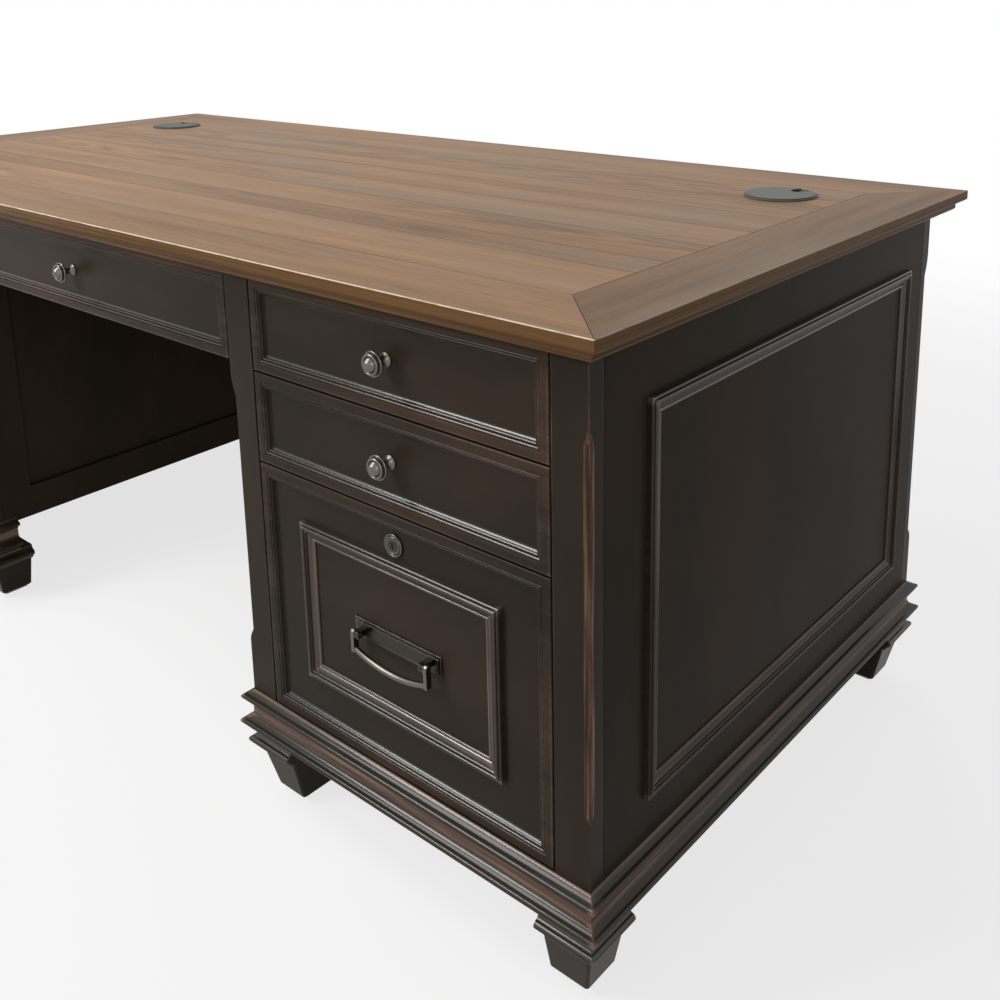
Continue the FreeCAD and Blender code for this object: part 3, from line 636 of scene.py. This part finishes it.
    def trim(self, graph: Graph, wood: Term, corner: Point) -> Term:
        """Adds the dark mitre lines and the pale arris of a border rail, partly worn edge and partly
        painted highlight.

        Args:
            graph: The material's graph.
            wood: The rail's colour.
            corner: The top's outer corner.

        Returns:
            The colour with both.
        """
        x, y, z = graph.place()
        from_end, from_side = corner[0] - abs(x), corner[1] - abs(y)
        mitre = self.mitre_mask.over(abs(from_end - from_side)) * (z > corner[2] - self.mitre_depth)
        wood = graph.mix(mitre, wood, self.line)
        rub = graph.noise(graph.point(x, y, z), self.rub_scale)
        # The pale arris line along the rail's outer edge is partly worn edge and partly painted
        # highlight.
        rim = from_end.least(from_side).ramp(*self.arris_fade) * (z > corner[2] - self.arris_depth)
        share = rim * rub.ramp(*self.rub_fade).about(0.75, 0.5) * self.worn
        return graph.mix(share, wood, self.arris)

    def build(self) -> bpy.types.Material:
        """Makes the material.

        Returns:
            The material.
        """
        material, graph = new_material(self.name)
        board = along_grain(graph, self.grain)
        wood, fibre = self.veneer(graph, board)
        wood = self.edge(graph, wood, board)
        if self.corner is not None:
            wood = self.trim(graph, wood, self.corner)
        graph.surface(
            {
                "Base Color": wood,
                "Roughness": fibre.about(self.roughness, self.roughness_spread),
                "Specular IOR Level": self.gloss,
                "Normal": graph.relief(fibre, self.fibre_strength, self.fibre_depth, self.edge_radius),
            }
        )
        return material


class CaseSurface(NamedTuple):
    """What the case finish is worked out from at a point, each from 0 to 1."""

    cloud: Term
    fibre: Term
    scuff: Term
    ridge: Term
    pit: Term


@dataclass(frozen=True)
class CaseFinish:
    """Black-brown satin finish, rubbed through to reddish wood along its edges and ridges."""

    name: str
    grain: Grain
    bare_chamfers: bool = False
    raised_face: Optional[float] = None
    black: Colour = srgb(44, 38, 31)
    warm: Colour = srgb(55, 45, 36)
    rubbed: Colour = srgb(94, 68, 55)
    bright: Colour = srgb(150, 120, 103)
    # Near-black colour of the painted shade in hollows and gaps between parts.
    crevice_shade: Colour = srgb(14, 12, 10)
    roughness: float = 0.30
    roughness_spread: float = 0.10
    bare_roughness: float = 0.10
    gloss: float = 0.05
    wear: float = 0.55
    arris: float = 0.40
    polish: float = 1.0
    polish_at_foot_and_head: Tuple[float, float] = (1.0, 1.0)
    polish_roughness: float = 0.15
    edge_radius: float = 0.7 * MM
    cloud: Pattern = Pattern(3.0, 7.0, 3.0)
    fibre: Pattern = Pattern(7.0, 340.0, 3.0, 0.6)
    scuff: Pattern = Pattern(5.0, 90.0, 4.0, 0.65)
    ridge_reach: float = 6 * MM
    arris_reach: float = 1.8 * MM
    pit_reach: float = 4 * MM
    cloud_fade: Fade = (0.35, 0.68)
    fibre_mask: Mask = Mask((0.56, 0.76), 0.10)
    bright_fade: Fade = (0.40, 0.70)
    ridge_weight: float = 1.2
    scuff_weight: float = 1.4
    bare_fade: Fade = (0.50, 0.95)
    bare_ridge: Fade = (0.12, 0.45)
    thin_ridge: Fade = (0.05, 0.40)
    chamfer_fade: Fade = (0.30, 0.50)
    chamfer_scuff: float = 0.8
    chamfer_fibre: float = 0.7
    chamfer_streaks: Fade = (0.48, 0.92)
    chamfer_wear: Tuple[float, float] = (0.85, 1.3)
    face_fade: Fade = (1.2 * MM, 0.6 * MM)
    face_weight: float = 0.6
    face_mask: Mask = Mask((0.42, 0.82), 0.75)
    arris_fade: Fade = (0.40, 0.80)
    arris_breaks: Fade = (0.36, 0.56)
    crevice_shade_mask: Mask = Mask((0.35, 0.90), 0.75)
    polished_ridge: Fade = (0.15, 0.60)
    polished_ledge: Fade = (0.10, 0.40)
    polished_underside: Fade = (-0.30, 0.10)
    polished_pit: Fade = (0.90, 0.50)
    polished_height: Fade = (0.45, 0.75)
    fibre_strength: float = 0.10
    fibre_depth: float = 0.3 * MM

    def rubbing(self, graph: Graph, at: CaseSurface) -> Tuple[Term, Term]:
        """Where hands and cloths have rubbed the finish.

        Args:
            graph: The material's graph.
            at: What is at the point.

        Returns:
            Where the finish is rubbed through, and where the wood below it is bright.
        """
        rub = at.ridge * self.ridge_weight + at.scuff.about(0.0, self.scuff_weight)
        bare = rub.ramp(*self.bare_fade) * at.ridge.ramp(*self.bare_ridge)
        thin = at.ridge.ramp(*self.thin_ridge)
        if self.bare_chamfers:
            wide, deep, _ = graph.facing()
            cut = wide.least(deep).ramp(*self.chamfer_fade)
            streaks = at.scuff * self.chamfer_scuff + at.fibre * self.chamfer_fibre
            worn = streaks.ramp(*self.chamfer_streaks).about(*self.chamfer_wear)
            bare = bare.greatest(cut * worn)
            thin = thin.greatest(cut)
        if self.raised_face is not None:
            _, depth, _ = graph.place()
            flat = depth.ramp(*(self.raised_face + distance for distance in self.face_fade))
            patches = at.scuff * self.face_weight + at.cloud * self.face_weight
            bare = bare.greatest(flat * self.face_mask.over(patches))
        return bare, thin

    def colour(self, graph: Graph, at: CaseSurface, bare: Term, thin: Term) -> Term:
        """The finish with its rubbed places, pale arrises and painted shade in its hollows and gaps.

        Args:
            graph: The material's graph.
            at: What is at the point.
            bare: Where the finish is rubbed through.
            thin: Where the wood below it is bright.

        Returns:
            The colour.
        """
        paint = graph.mix(at.cloud.ramp(*self.cloud_fade), self.black, self.warm)
        paint = graph.mix(self.fibre_mask.over(at.fibre), paint, self.rubbed)
        wood = graph.mix(at.fibre.ramp(*self.bright_fade) * thin, self.rubbed, self.bright)
        paint = graph.mix(bare * self.wear, paint, wood)
        edge = graph.worn_edge(self.arris_reach).ramp(*self.arris_fade)
        edge = edge * at.scuff.ramp(*self.arris_breaks)
        paint = graph.mix(edge * self.arris, paint, self.bright)
        # Painted shade: hollows and gaps between parts are darkened towards a near-black colour.
        return graph.mix(self.crevice_shade_mask.over(at.pit), paint, self.crevice_shade)

    def film(self, graph: Graph, at: CaseSurface) -> Term:
        """Where polish has built up: on ridges and on faces that look up, clear of hollows.

        Args:
            graph: The material's graph.
            at: What is at the point.

        Returns:
            Its strength.
        """
        up = graph.upward()
        film = at.ridge.ramp(*self.polished_ridge).greatest(up.ramp(*self.polished_ledge))
        film = film * up.ramp(*self.polished_underside) * at.pit.ramp(*self.polished_pit)
        foot, head = self.polish_at_foot_and_head
        if foot != head:
            film = film * (graph.share_up().ramp(*self.polished_height) * (head - foot) + foot)
        return film * self.polish

    def build(self) -> bpy.types.Material:
        """Makes the material.

        Returns:
            The material.
        """
        material, graph = new_material(self.name)
        board = along_grain(graph, self.grain)
        at = CaseSurface(
            self.cloud.draw(graph, board),
            self.fibre.draw(graph, board),
            self.scuff.draw(graph, board),
            graph.worn_edge(self.ridge_reach),
            graph.hollow(self.pit_reach),
        )
        bare, thin = self.rubbing(graph, at)
        satin = at.cloud.about(self.roughness, self.roughness_spread)
        graph.surface(
            {
                "Base Color": self.colour(graph, at, bare, thin),
                "Roughness": satin + bare * self.bare_roughness,
                "Specular IOR Level": self.gloss,
                "Coat Weight": self.film(graph, at),
                "Coat Roughness": self.polish_roughness,
                "Normal": graph.relief(
                    at.fibre, self.fibre_strength, self.fibre_depth, self.edge_radius
                ),
            }
        )
        return material


@dataclass(frozen=True)
class DrawerWood:
    """Pale clear-finished wood inside the desk."""

    name: str = "drawer_wood"
    grain: Grain = Grain.FRONT_TO_BACK
    pale: Colour = srgb(196, 165, 124)
    brown: Colour = srgb(160, 124, 84)
    roughness: float = 0.48
    roughness_spread: float = 0.12
    streak: Pattern = Pattern(1.2, 30.0, 4.0, 0.6)
    fibre: Pattern = Pattern(12.0, 340.0)
    streak_weight: float = 0.8
    fibre_weight: float = 0.3
    brown_fade: Fade = (0.30, 0.82)
    # How far the painted shade in inner corners reaches, and how strong it is.
    corner_shade_reach: float = 12 * MM
    corner_shade_mask: Mask = Mask((0.40, 0.95), 0.4)
    edge_radius: float = 0.7 * MM

    def build(self) -> bpy.types.Material:
        """Makes the material.

        Returns:
            The material.
        """
        material, graph = new_material(self.name)
        board = along_grain(graph, self.grain)
        fibre = self.fibre.draw(graph, board)
        tone = self.streak.draw(graph, board) * self.streak_weight + fibre * self.fibre_weight
        wood = graph.mix(tone.ramp(*self.brown_fade), self.pale, self.brown)
        # Painted shade: the wood turns browner in its inner corners.
        corner = graph.hollow(self.corner_shade_reach)
        graph.surface(
            {
                "Base Color": graph.mix(self.corner_shade_mask.over(corner), wood, self.brown),
                "Roughness": fibre.about(self.roughness, self.roughness_spread),
                "Normal": graph.rounded(self.edge_radius),
            }
        )
        return material


@dataclass(frozen=True)
class Pewter:
    """Aged pewter: dark in its grooves, polished on its rims."""

    name: str = "pewter"
    body: Colour = srgb(110, 105, 98)
    bright: Colour = srgb(180, 174, 166)
    dark: Colour = srgb(30, 28, 25)
    grime: float = 0.75
    roughness: float = 0.29
    roughness_spread: float = 0.10
    grime_roughness: float = 0.20
    cloud_scale: float = 90.0
    cloud_spread: float = 0.3
    reach: float = 2.5 * MM
    samples: int = 16
    rim_fade: Fade = (0.30, 0.95)
    groove_weight: float = 1.1
    groove_fade: Fade = (0.30, 0.85)
    edge_radius: float = 0.5 * MM

    def build(self) -> bpy.types.Material:
        """Makes the material.

        Returns:
            The material.
        """
        material, graph = new_material(self.name)
        cloud = graph.noise(graph.point(*graph.place()), self.cloud_scale)
        drift = cloud.about(0.0, self.cloud_spread)
        rim = graph.worn_edge(self.reach, self.samples) + drift
        groove = graph.hollow(self.reach, self.samples) * self.groove_weight + drift
        grime = groove.ramp(*self.groove_fade)
        metal = graph.mix(rim.ramp(*self.rim_fade), self.body, self.bright)
        worn_metal = cloud.about(self.roughness, self.roughness_spread)
        graph.surface(
            {
                "Base Color": graph.mix(grime * self.grime, metal, self.dark),
                "Metallic": 1.0,
                "Roughness": worn_metal + grime * self.grime_roughness,
                "Normal": graph.rounded(self.edge_radius),
            }
        )
        return material


@dataclass(frozen=True)
class SlideSteel:
    """Zinc-plated steel of the slides and hanging-file rails, brushed from front to back."""

    name: str = "slide_steel"
    zinc: Colour = srgb(176, 178, 180)
    dull: Colour = srgb(140, 142, 144)
    roughness: float = 0.34
    roughness_spread: float = 0.12
    lines_across: float = 400.0
    lines_along: float = 6.0

    def build(self) -> bpy.types.Material:
        """Makes the material.

        Returns:
            The material.
        """
        material, graph = new_material(self.name)
        x, y, z = graph.place()
        where = graph.point(x * self.lines_across, y * self.lines_along, z * self.lines_across)
        brushed = graph.noise(where, 1.0)
        graph.surface(
            {
                "Base Color": graph.mix(brushed, self.zinc, self.dull),
                "Metallic": 1.0,
                "Roughness": brushed.about(self.roughness, self.roughness_spread),
            }
        )
        return material


@dataclass(frozen=True)
class MattePlastic:
    """Fine-grained moulded plastic."""

    name: str
    body: Colour
    roughness: float = 0.55
    roughness_spread: float = 0.10
    gloss: float = 0.25
    speck_scale: float = 1500.0
    speck_lift: float = 1.5
    speck_mask: Mask = Mask((0.30, 0.70), 0.12)
    speck_strength: float = 0.15
    speck_depth: float = 0.1 * MM
    edge_radius: float = 0.4 * MM

    def build(self) -> bpy.types.Material:
        """Makes the material.

        Returns:
            The material.
        """
        material, graph = new_material(self.name)
        specks = graph.noise(graph.point(*graph.place()), self.speck_scale)
        pale = tuple(channel * self.speck_lift for channel in self.body)
        graph.surface(
            {
                "Base Color": graph.mix(self.speck_mask.over(specks), self.body, pale),
                "Roughness": specks.about(self.roughness, self.roughness_spread),
                "Specular IOR Level": self.gloss,
                "Normal": graph.relief(
                    specks, self.speck_strength, self.speck_depth, self.edge_radius
                ),
            }
        )
        return material


Finish = Union[TopWood, CaseFinish, DrawerWood, Pewter, SlideSteel, MattePlastic]


class Wardrobe:
    """Makes each finish once and puts it on pieces."""

    def __init__(self) -> None:
        """Starts empty."""
        self.made: Dict[str, bpy.types.Material] = {}

    def dress(self, finish: Finish, *pieces: str) -> None:
        """Puts a finish on pieces of the desk.

        Args:
            finish: The finish.
            pieces: The pieces' names.
        """
        if finish.name not in self.made:
            self.made[finish.name] = finish.build()
        for piece in pieces:
            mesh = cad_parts[piece].data
            mesh.materials.clear()
            mesh.materials.append(self.made[finish.name])
            mesh.polygons.foreach_set("material_index", [0] * len(mesh.polygons))
            LOG.info("%s wears %s", piece, finish.name)


class Side(Enum):
    """The sitter's two sides of the desk."""

    RIGHT = "right"
    LEFT = "left"


@dataclass
class DeskTop:
    """The planked top with its mitred rails and its grommets."""

    planked: str = "top_field"
    long_rails: Tuple[str, ...] = ("top_front_rail", "top_back_rail")
    short_rails: Tuple[str, ...] = ("top_right_rail", "top_left_rail")
    plank_widths: Tuple[float, ...] = tuple(
        width * MM for width in (112, 60, 97, 98, 100, 60, 88, 83)
    )
    plastic: MattePlastic = MattePlastic("grommet_plastic", srgb(72, 72, 67))

    def seams(self) -> Tuple[float, ...]:
        """Where the planks' edges are, from the front of the field to its back."""
        front = min(point.y for point in mesh_points(self.planked))
        return tuple(accumulate(self.plank_widths, initial=front))

    def corner(self) -> Point:
        """The top's outer corner at its right end, at the back and at its upper face."""
        points = [point for rail in self.long_rails for point in mesh_points(rail)]
        return tuple(max(point[axis] for point in points) for axis in range(3))

    def dress(self, wardrobe: Wardrobe) -> None:
        """Finishes the top.

        Args:
            wardrobe: Where finishes are made.
        """
        corner = self.corner()
        planks = TopWood("top_planks", Grain.LENGTHWAYS, seams=self.seams(), seed=3.0)
        long_rail = TopWood("long_rail_wood", Grain.LENGTHWAYS, corner=corner, seed=41.0, painted_light_shift=0.03)
        # The end rails are darker as painted shade, standing in for how light falls across their
        # turned grain.
        short_rail = TopWood(
            "short_rail_wood", Grain.FRONT_TO_BACK, corner=corner, seed=63.0, painted_light_shift=-0.09, worn=0.3
        )
        wardrobe.dress(planks, self.planked)
        wardrobe.dress(long_rail, *self.long_rails)
        wardrobe.dress(short_rail, *self.short_rails)
        wardrobe.dress(self.plastic, "grommet_liners")
        wardrobe.dress(self.plastic, *(f"{side.value}_grommet_cap" for side in Side))


@dataclass
class Pedestals:
    """Posts, panels, mouldings and feet of the two pedestals."""

    panels: Tuple[str, ...] = ("side_panels", "kneehole_panels", "back_panels", "modesty_panel")
    rails: Tuple[str, ...] = ("case_rails", "pedestal_bottoms")
    frames: Tuple[str, ...] = ("side_mouldings", "back_mouldings")
    post_finish: CaseFinish = CaseFinish(
        "case_posts", Grain.UPRIGHT, bare_chamfers=True, arris=0.12, polish=0.0
    )
    panel_finish: CaseFinish = CaseFinish(
        "case_panels", Grain.UPRIGHT, gloss=0.02, wear=0.2, arris=0.0, polish=0.0
    )
    foot_finish: CaseFinish = CaseFinish("case_feet", Grain.UPRIGHT)
    rail_finish: CaseFinish = CaseFinish("case_rails", Grain.LENGTHWAYS, wear=0.42)
    frame_finish: CaseFinish = CaseFinish(
        "side_frames", Grain.WITH_THE_RUN, wear=0.42, polish_at_foot_and_head=(0.35, 1.0)
    )
    base_finish: CaseFinish = CaseFinish(
        "case_base", Grain.WITH_THE_RUN, wear=0.8, polish=0.5, edge_radius=1.4 * MM
    )
    glide_finish: MattePlastic = MattePlastic("glide_plastic", srgb(38, 38, 38))

    def dress(self, wardrobe: Wardrobe) -> None:
        """Finishes the pedestals.

        Args:
            wardrobe: Where finishes are made.
        """
        wardrobe.dress(self.post_finish, "corner_posts")
        wardrobe.dress(self.panel_finish, *self.panels)
        wardrobe.dress(self.foot_finish, "feet")
        wardrobe.dress(self.rail_finish, *self.rails)
        wardrobe.dress(self.frame_finish, *self.frames)
        wardrobe.dress(self.base_finish, "base_mouldings")
        wardrobe.dress(self.glide_finish, "floor_glides")
        wardrobe.dress(DrawerWood(), "runner_cleats")
        wardrobe.dress(SlideSteel(), "slide_cabinet_members")


@dataclass
class Drawers:
    """Fronts, boxes, slides and hardware of the seven drawers."""

    shallow: Tuple[str, ...] = ("upper", "middle")
    frame_finish: CaseFinish = CaseFinish("case_frames", Grain.WITH_THE_RUN, wear=0.42)
    file_hardware: Tuple[Tuple[str, Pewter], ...] = (
        ("lock_housing", Pewter("lock_pewter", srgb(88, 84, 77), srgb(185, 178, 168), grime=0.9)),
        ("lock_plug", Pewter("plug_pewter", srgb(62, 59, 53), srgb(112, 107, 99), grime=0.9)),
        ("pull_plate", Pewter("plate_pewter", srgb(60, 56, 50), srgb(142, 136, 126), grime=0.9)),
        ("pull_bail", Pewter("bail_pewter", srgb(104, 99, 91), srgb(176, 170, 160), grime=0.9)),
    )

    def with_knobs(self) -> List[str]:
        """The drawers with knobs: two in each pedestal and the centre one."""
        return [f"{side.value}_{drawer}" for side in Side for drawer in self.shallow] + ["centre"]

    def with_locks(self) -> List[str]:
        """The file drawers, one in each pedestal."""
        return [f"{side.value}_file" for side in Side]

    def front_finish(self) -> CaseFinish:
        """The finish of the fronts, which is rubbed on their raised borders.

        Returns:
            The finish.
        """
        face = min(point.y for point in mesh_points("centre_drawer_front"))
        return CaseFinish(
            "case_fronts",
            Grain.LENGTHWAYS,
            raised_face=face,
            arris=0.2,
            polish_at_foot_and_head=(1.0, 0.15),
            edge_radius=1.2 * MM,
        )

    def dress(self, wardrobe: Wardrobe) -> None:
        """Finishes the drawers.

        Args:
            wardrobe: Where finishes are made.
        """
        front = self.front_finish()
        for drawer in self.with_knobs() + self.with_locks():
            wardrobe.dress(front, f"{drawer}_drawer_front")
            wardrobe.dress(DrawerWood(), f"{drawer}_drawer_box")
            wardrobe.dress(SlideSteel(), f"{drawer}_slide_members")
        for drawer in self.with_knobs():
            wardrobe.dress(Pewter(), f"{drawer}_knob")
        for drawer in self.with_locks():
            wardrobe.dress(self.frame_finish, f"{drawer}_frame_moulding")
            wardrobe.dress(SlideSteel(), f"{drawer}_hanging_rails")
            for piece, metal in self.file_hardware:
                wardrobe.dress(metal, f"{drawer}_{piece}")


@dataclass(frozen=True)
class Softbox:
    """A soft light with a rectangular face."""

    name: str
    place: Point
    aim: Point
    size: Tuple[float, float]
    power: float

    def build(self) -> None:
        """Makes the light and puts it in the scene."""
        lamp = bpy.data.lights.new(self.name, "AREA")
        lamp.shape = "RECTANGLE"
        lamp.size, lamp.size_y = self.size
        lamp.energy = self.power
        light = bpy.data.objects.new(self.name, lamp)
        bpy.context.scene.collection.objects.link(light)
        light.location = self.place
        direction = Vector(self.aim) - Vector(self.place)
        light.rotation_euler = direction.to_track_quat("-Z", "Y").to_euler()


@dataclass
class Studio:
    """Pale floor, soft light, white surroundings and the camera."""

    floor_size: float = 60.0
    floor_colour: Colour = (0.78, 0.78, 0.78)
    floor_glow: float = 0.75
    shadow_reach: Fade = (1.5, 3.5)
    world_colour: Colour = (1.0, 1.0, 1.0)
    world_strength: float = 0.30
    frame_pixels: float = 1000.0
    focal_pixels: float = 1148.07
    sensor: float = 36.0
    eye: Point = (1.54021, -1.23106, 1.06695)
    turn: Point = (76.9666, 0.9640, 40.5508)
    shift: Tuple[float, float] = (-0.0133, -0.25)
    lights: Tuple[Softbox, ...] = (
        Softbox("key_light", (-1.2, -2.6, 2.2), (0.5, -0.4, 0.45), (1.1, 0.76), 47.0),
        Softbox("high_light", (-0.95, -1.25, 2.9), (0.6, -0.4, 0.5), (1.5, 1.0), 38.0),
        Softbox("side_light", (3.0, -2.2, 1.9), (0.9, 0.0, 0.45), (0.9, 0.9), 11.5),
        Softbox("back_light", (-0.4, 2.6, 3.4), (0.0, 0.4, 0.5), (1.6, 1.6), 25.0),
    )

    def seen_directly(self, graph: Graph) -> Term:
        """1 for what the camera sees straight, in a mirror or through glass.

        Args:
            graph: The graph to add it to.

        Returns:
            The mask.
        """
        path = graph.node("ShaderNodeLightPath")
        direct = path["Is Camera Ray"].greatest(path["Is Glossy Ray"])
        return direct.greatest(path["Is Transmission Ray"])

    def floor_material(self) -> bpy.types.Material:
        """A pale surface that glows for the camera, less so near the desk, to keep its shadow.

        Returns:
            The material.
        """
        material, graph = new_material("pale_floor")
        colour = (*self.floor_colour, 1.0)
        pale = graph.node("ShaderNodeBsdfDiffuse", inputs={"Color": colour})["BSDF"]
        glow = graph.node("ShaderNodeEmission", inputs={"Strength": 1.0})["Emission"]
        x, y, _ = graph.place()
        away = (x * x + y * y).root().ramp(*self.shadow_reach)
        share = self.seen_directly(graph) * (away * (1.0 - self.floor_glow) + self.floor_glow)
        both = graph.node("ShaderNodeMixShader", inputs={0: share, 1: pale, 2: glow})[0]
        graph.node("ShaderNodeOutputMaterial", inputs={"Surface": both})
        return material

    def build_floor(self) -> None:
        """Lays a wide pale floor that keeps the desk's shadow."""
        half = self.floor_size / 2
        mesh = bpy.data.meshes.new("floor")
        corners = [(-half, -half, 0), (half, -half, 0), (half, half, 0), (-half, half, 0)]
        mesh.from_pydata(corners, [], [(0, 1, 2, 3)])
        mesh.materials.append(self.floor_material())
        floor = bpy.data.objects.new("floor", mesh)
        bpy.context.scene.collection.objects.link(floor)

    def build_world(self) -> None:
        """White surroundings, softer as a light than as a background."""
        world = bpy.data.worlds.new("white_room")
        world.use_nodes = True
        bpy.context.scene.world = world
        graph = Graph(world.node_tree)
        strength = self.seen_directly(graph) * (1.0 - self.world_strength) + self.world_strength
        inputs = {"Color": (*self.world_colour, 1.0), "Strength": strength}
        sky = graph.node("ShaderNodeBackground", inputs=inputs)
        graph.node("ShaderNodeOutputWorld", inputs={"Surface": sky["Background"]})

    def build_camera(self) -> None:
        """Sets the camera at the photograph's viewing angle."""
        lens = bpy.data.cameras.new("camera")
        lens.sensor_fit = "AUTO"
        lens.sensor_width = self.sensor
        lens.lens = self.focal_pixels / self.frame_pixels * self.sensor
        lens.shift_x, lens.shift_y = self.shift
        lens.dof.use_dof = False
        camera = bpy.data.objects.new("camera", lens)
        bpy.context.scene.collection.objects.link(camera)
        camera.location = self.eye
        camera.rotation_euler = [math.radians(angle) for angle in self.turn]
        bpy.context.scene.camera = camera

    def build(self) -> None:
        """Sets up everything around the desk."""
        self.build_floor()
        self.build_world()
        for light in self.lights:
            light.build()
        self.build_camera()
        bpy.context.scene.view_settings.view_transform = "Standard"


def main() -> None:
    """Dresses the desk and sets up the studio."""
    logging.basicConfig(level=logging.INFO, format="%(name)s: %(message)s")
    wardrobe = Wardrobe()
    for assembly in (DeskTop(), Pedestals(), Drawers()):
        assembly.dress(wardrobe)
        LOG.info("%s done", type(assembly).__name__)
    Studio().build()


if __name__ == "__main__":
    main()
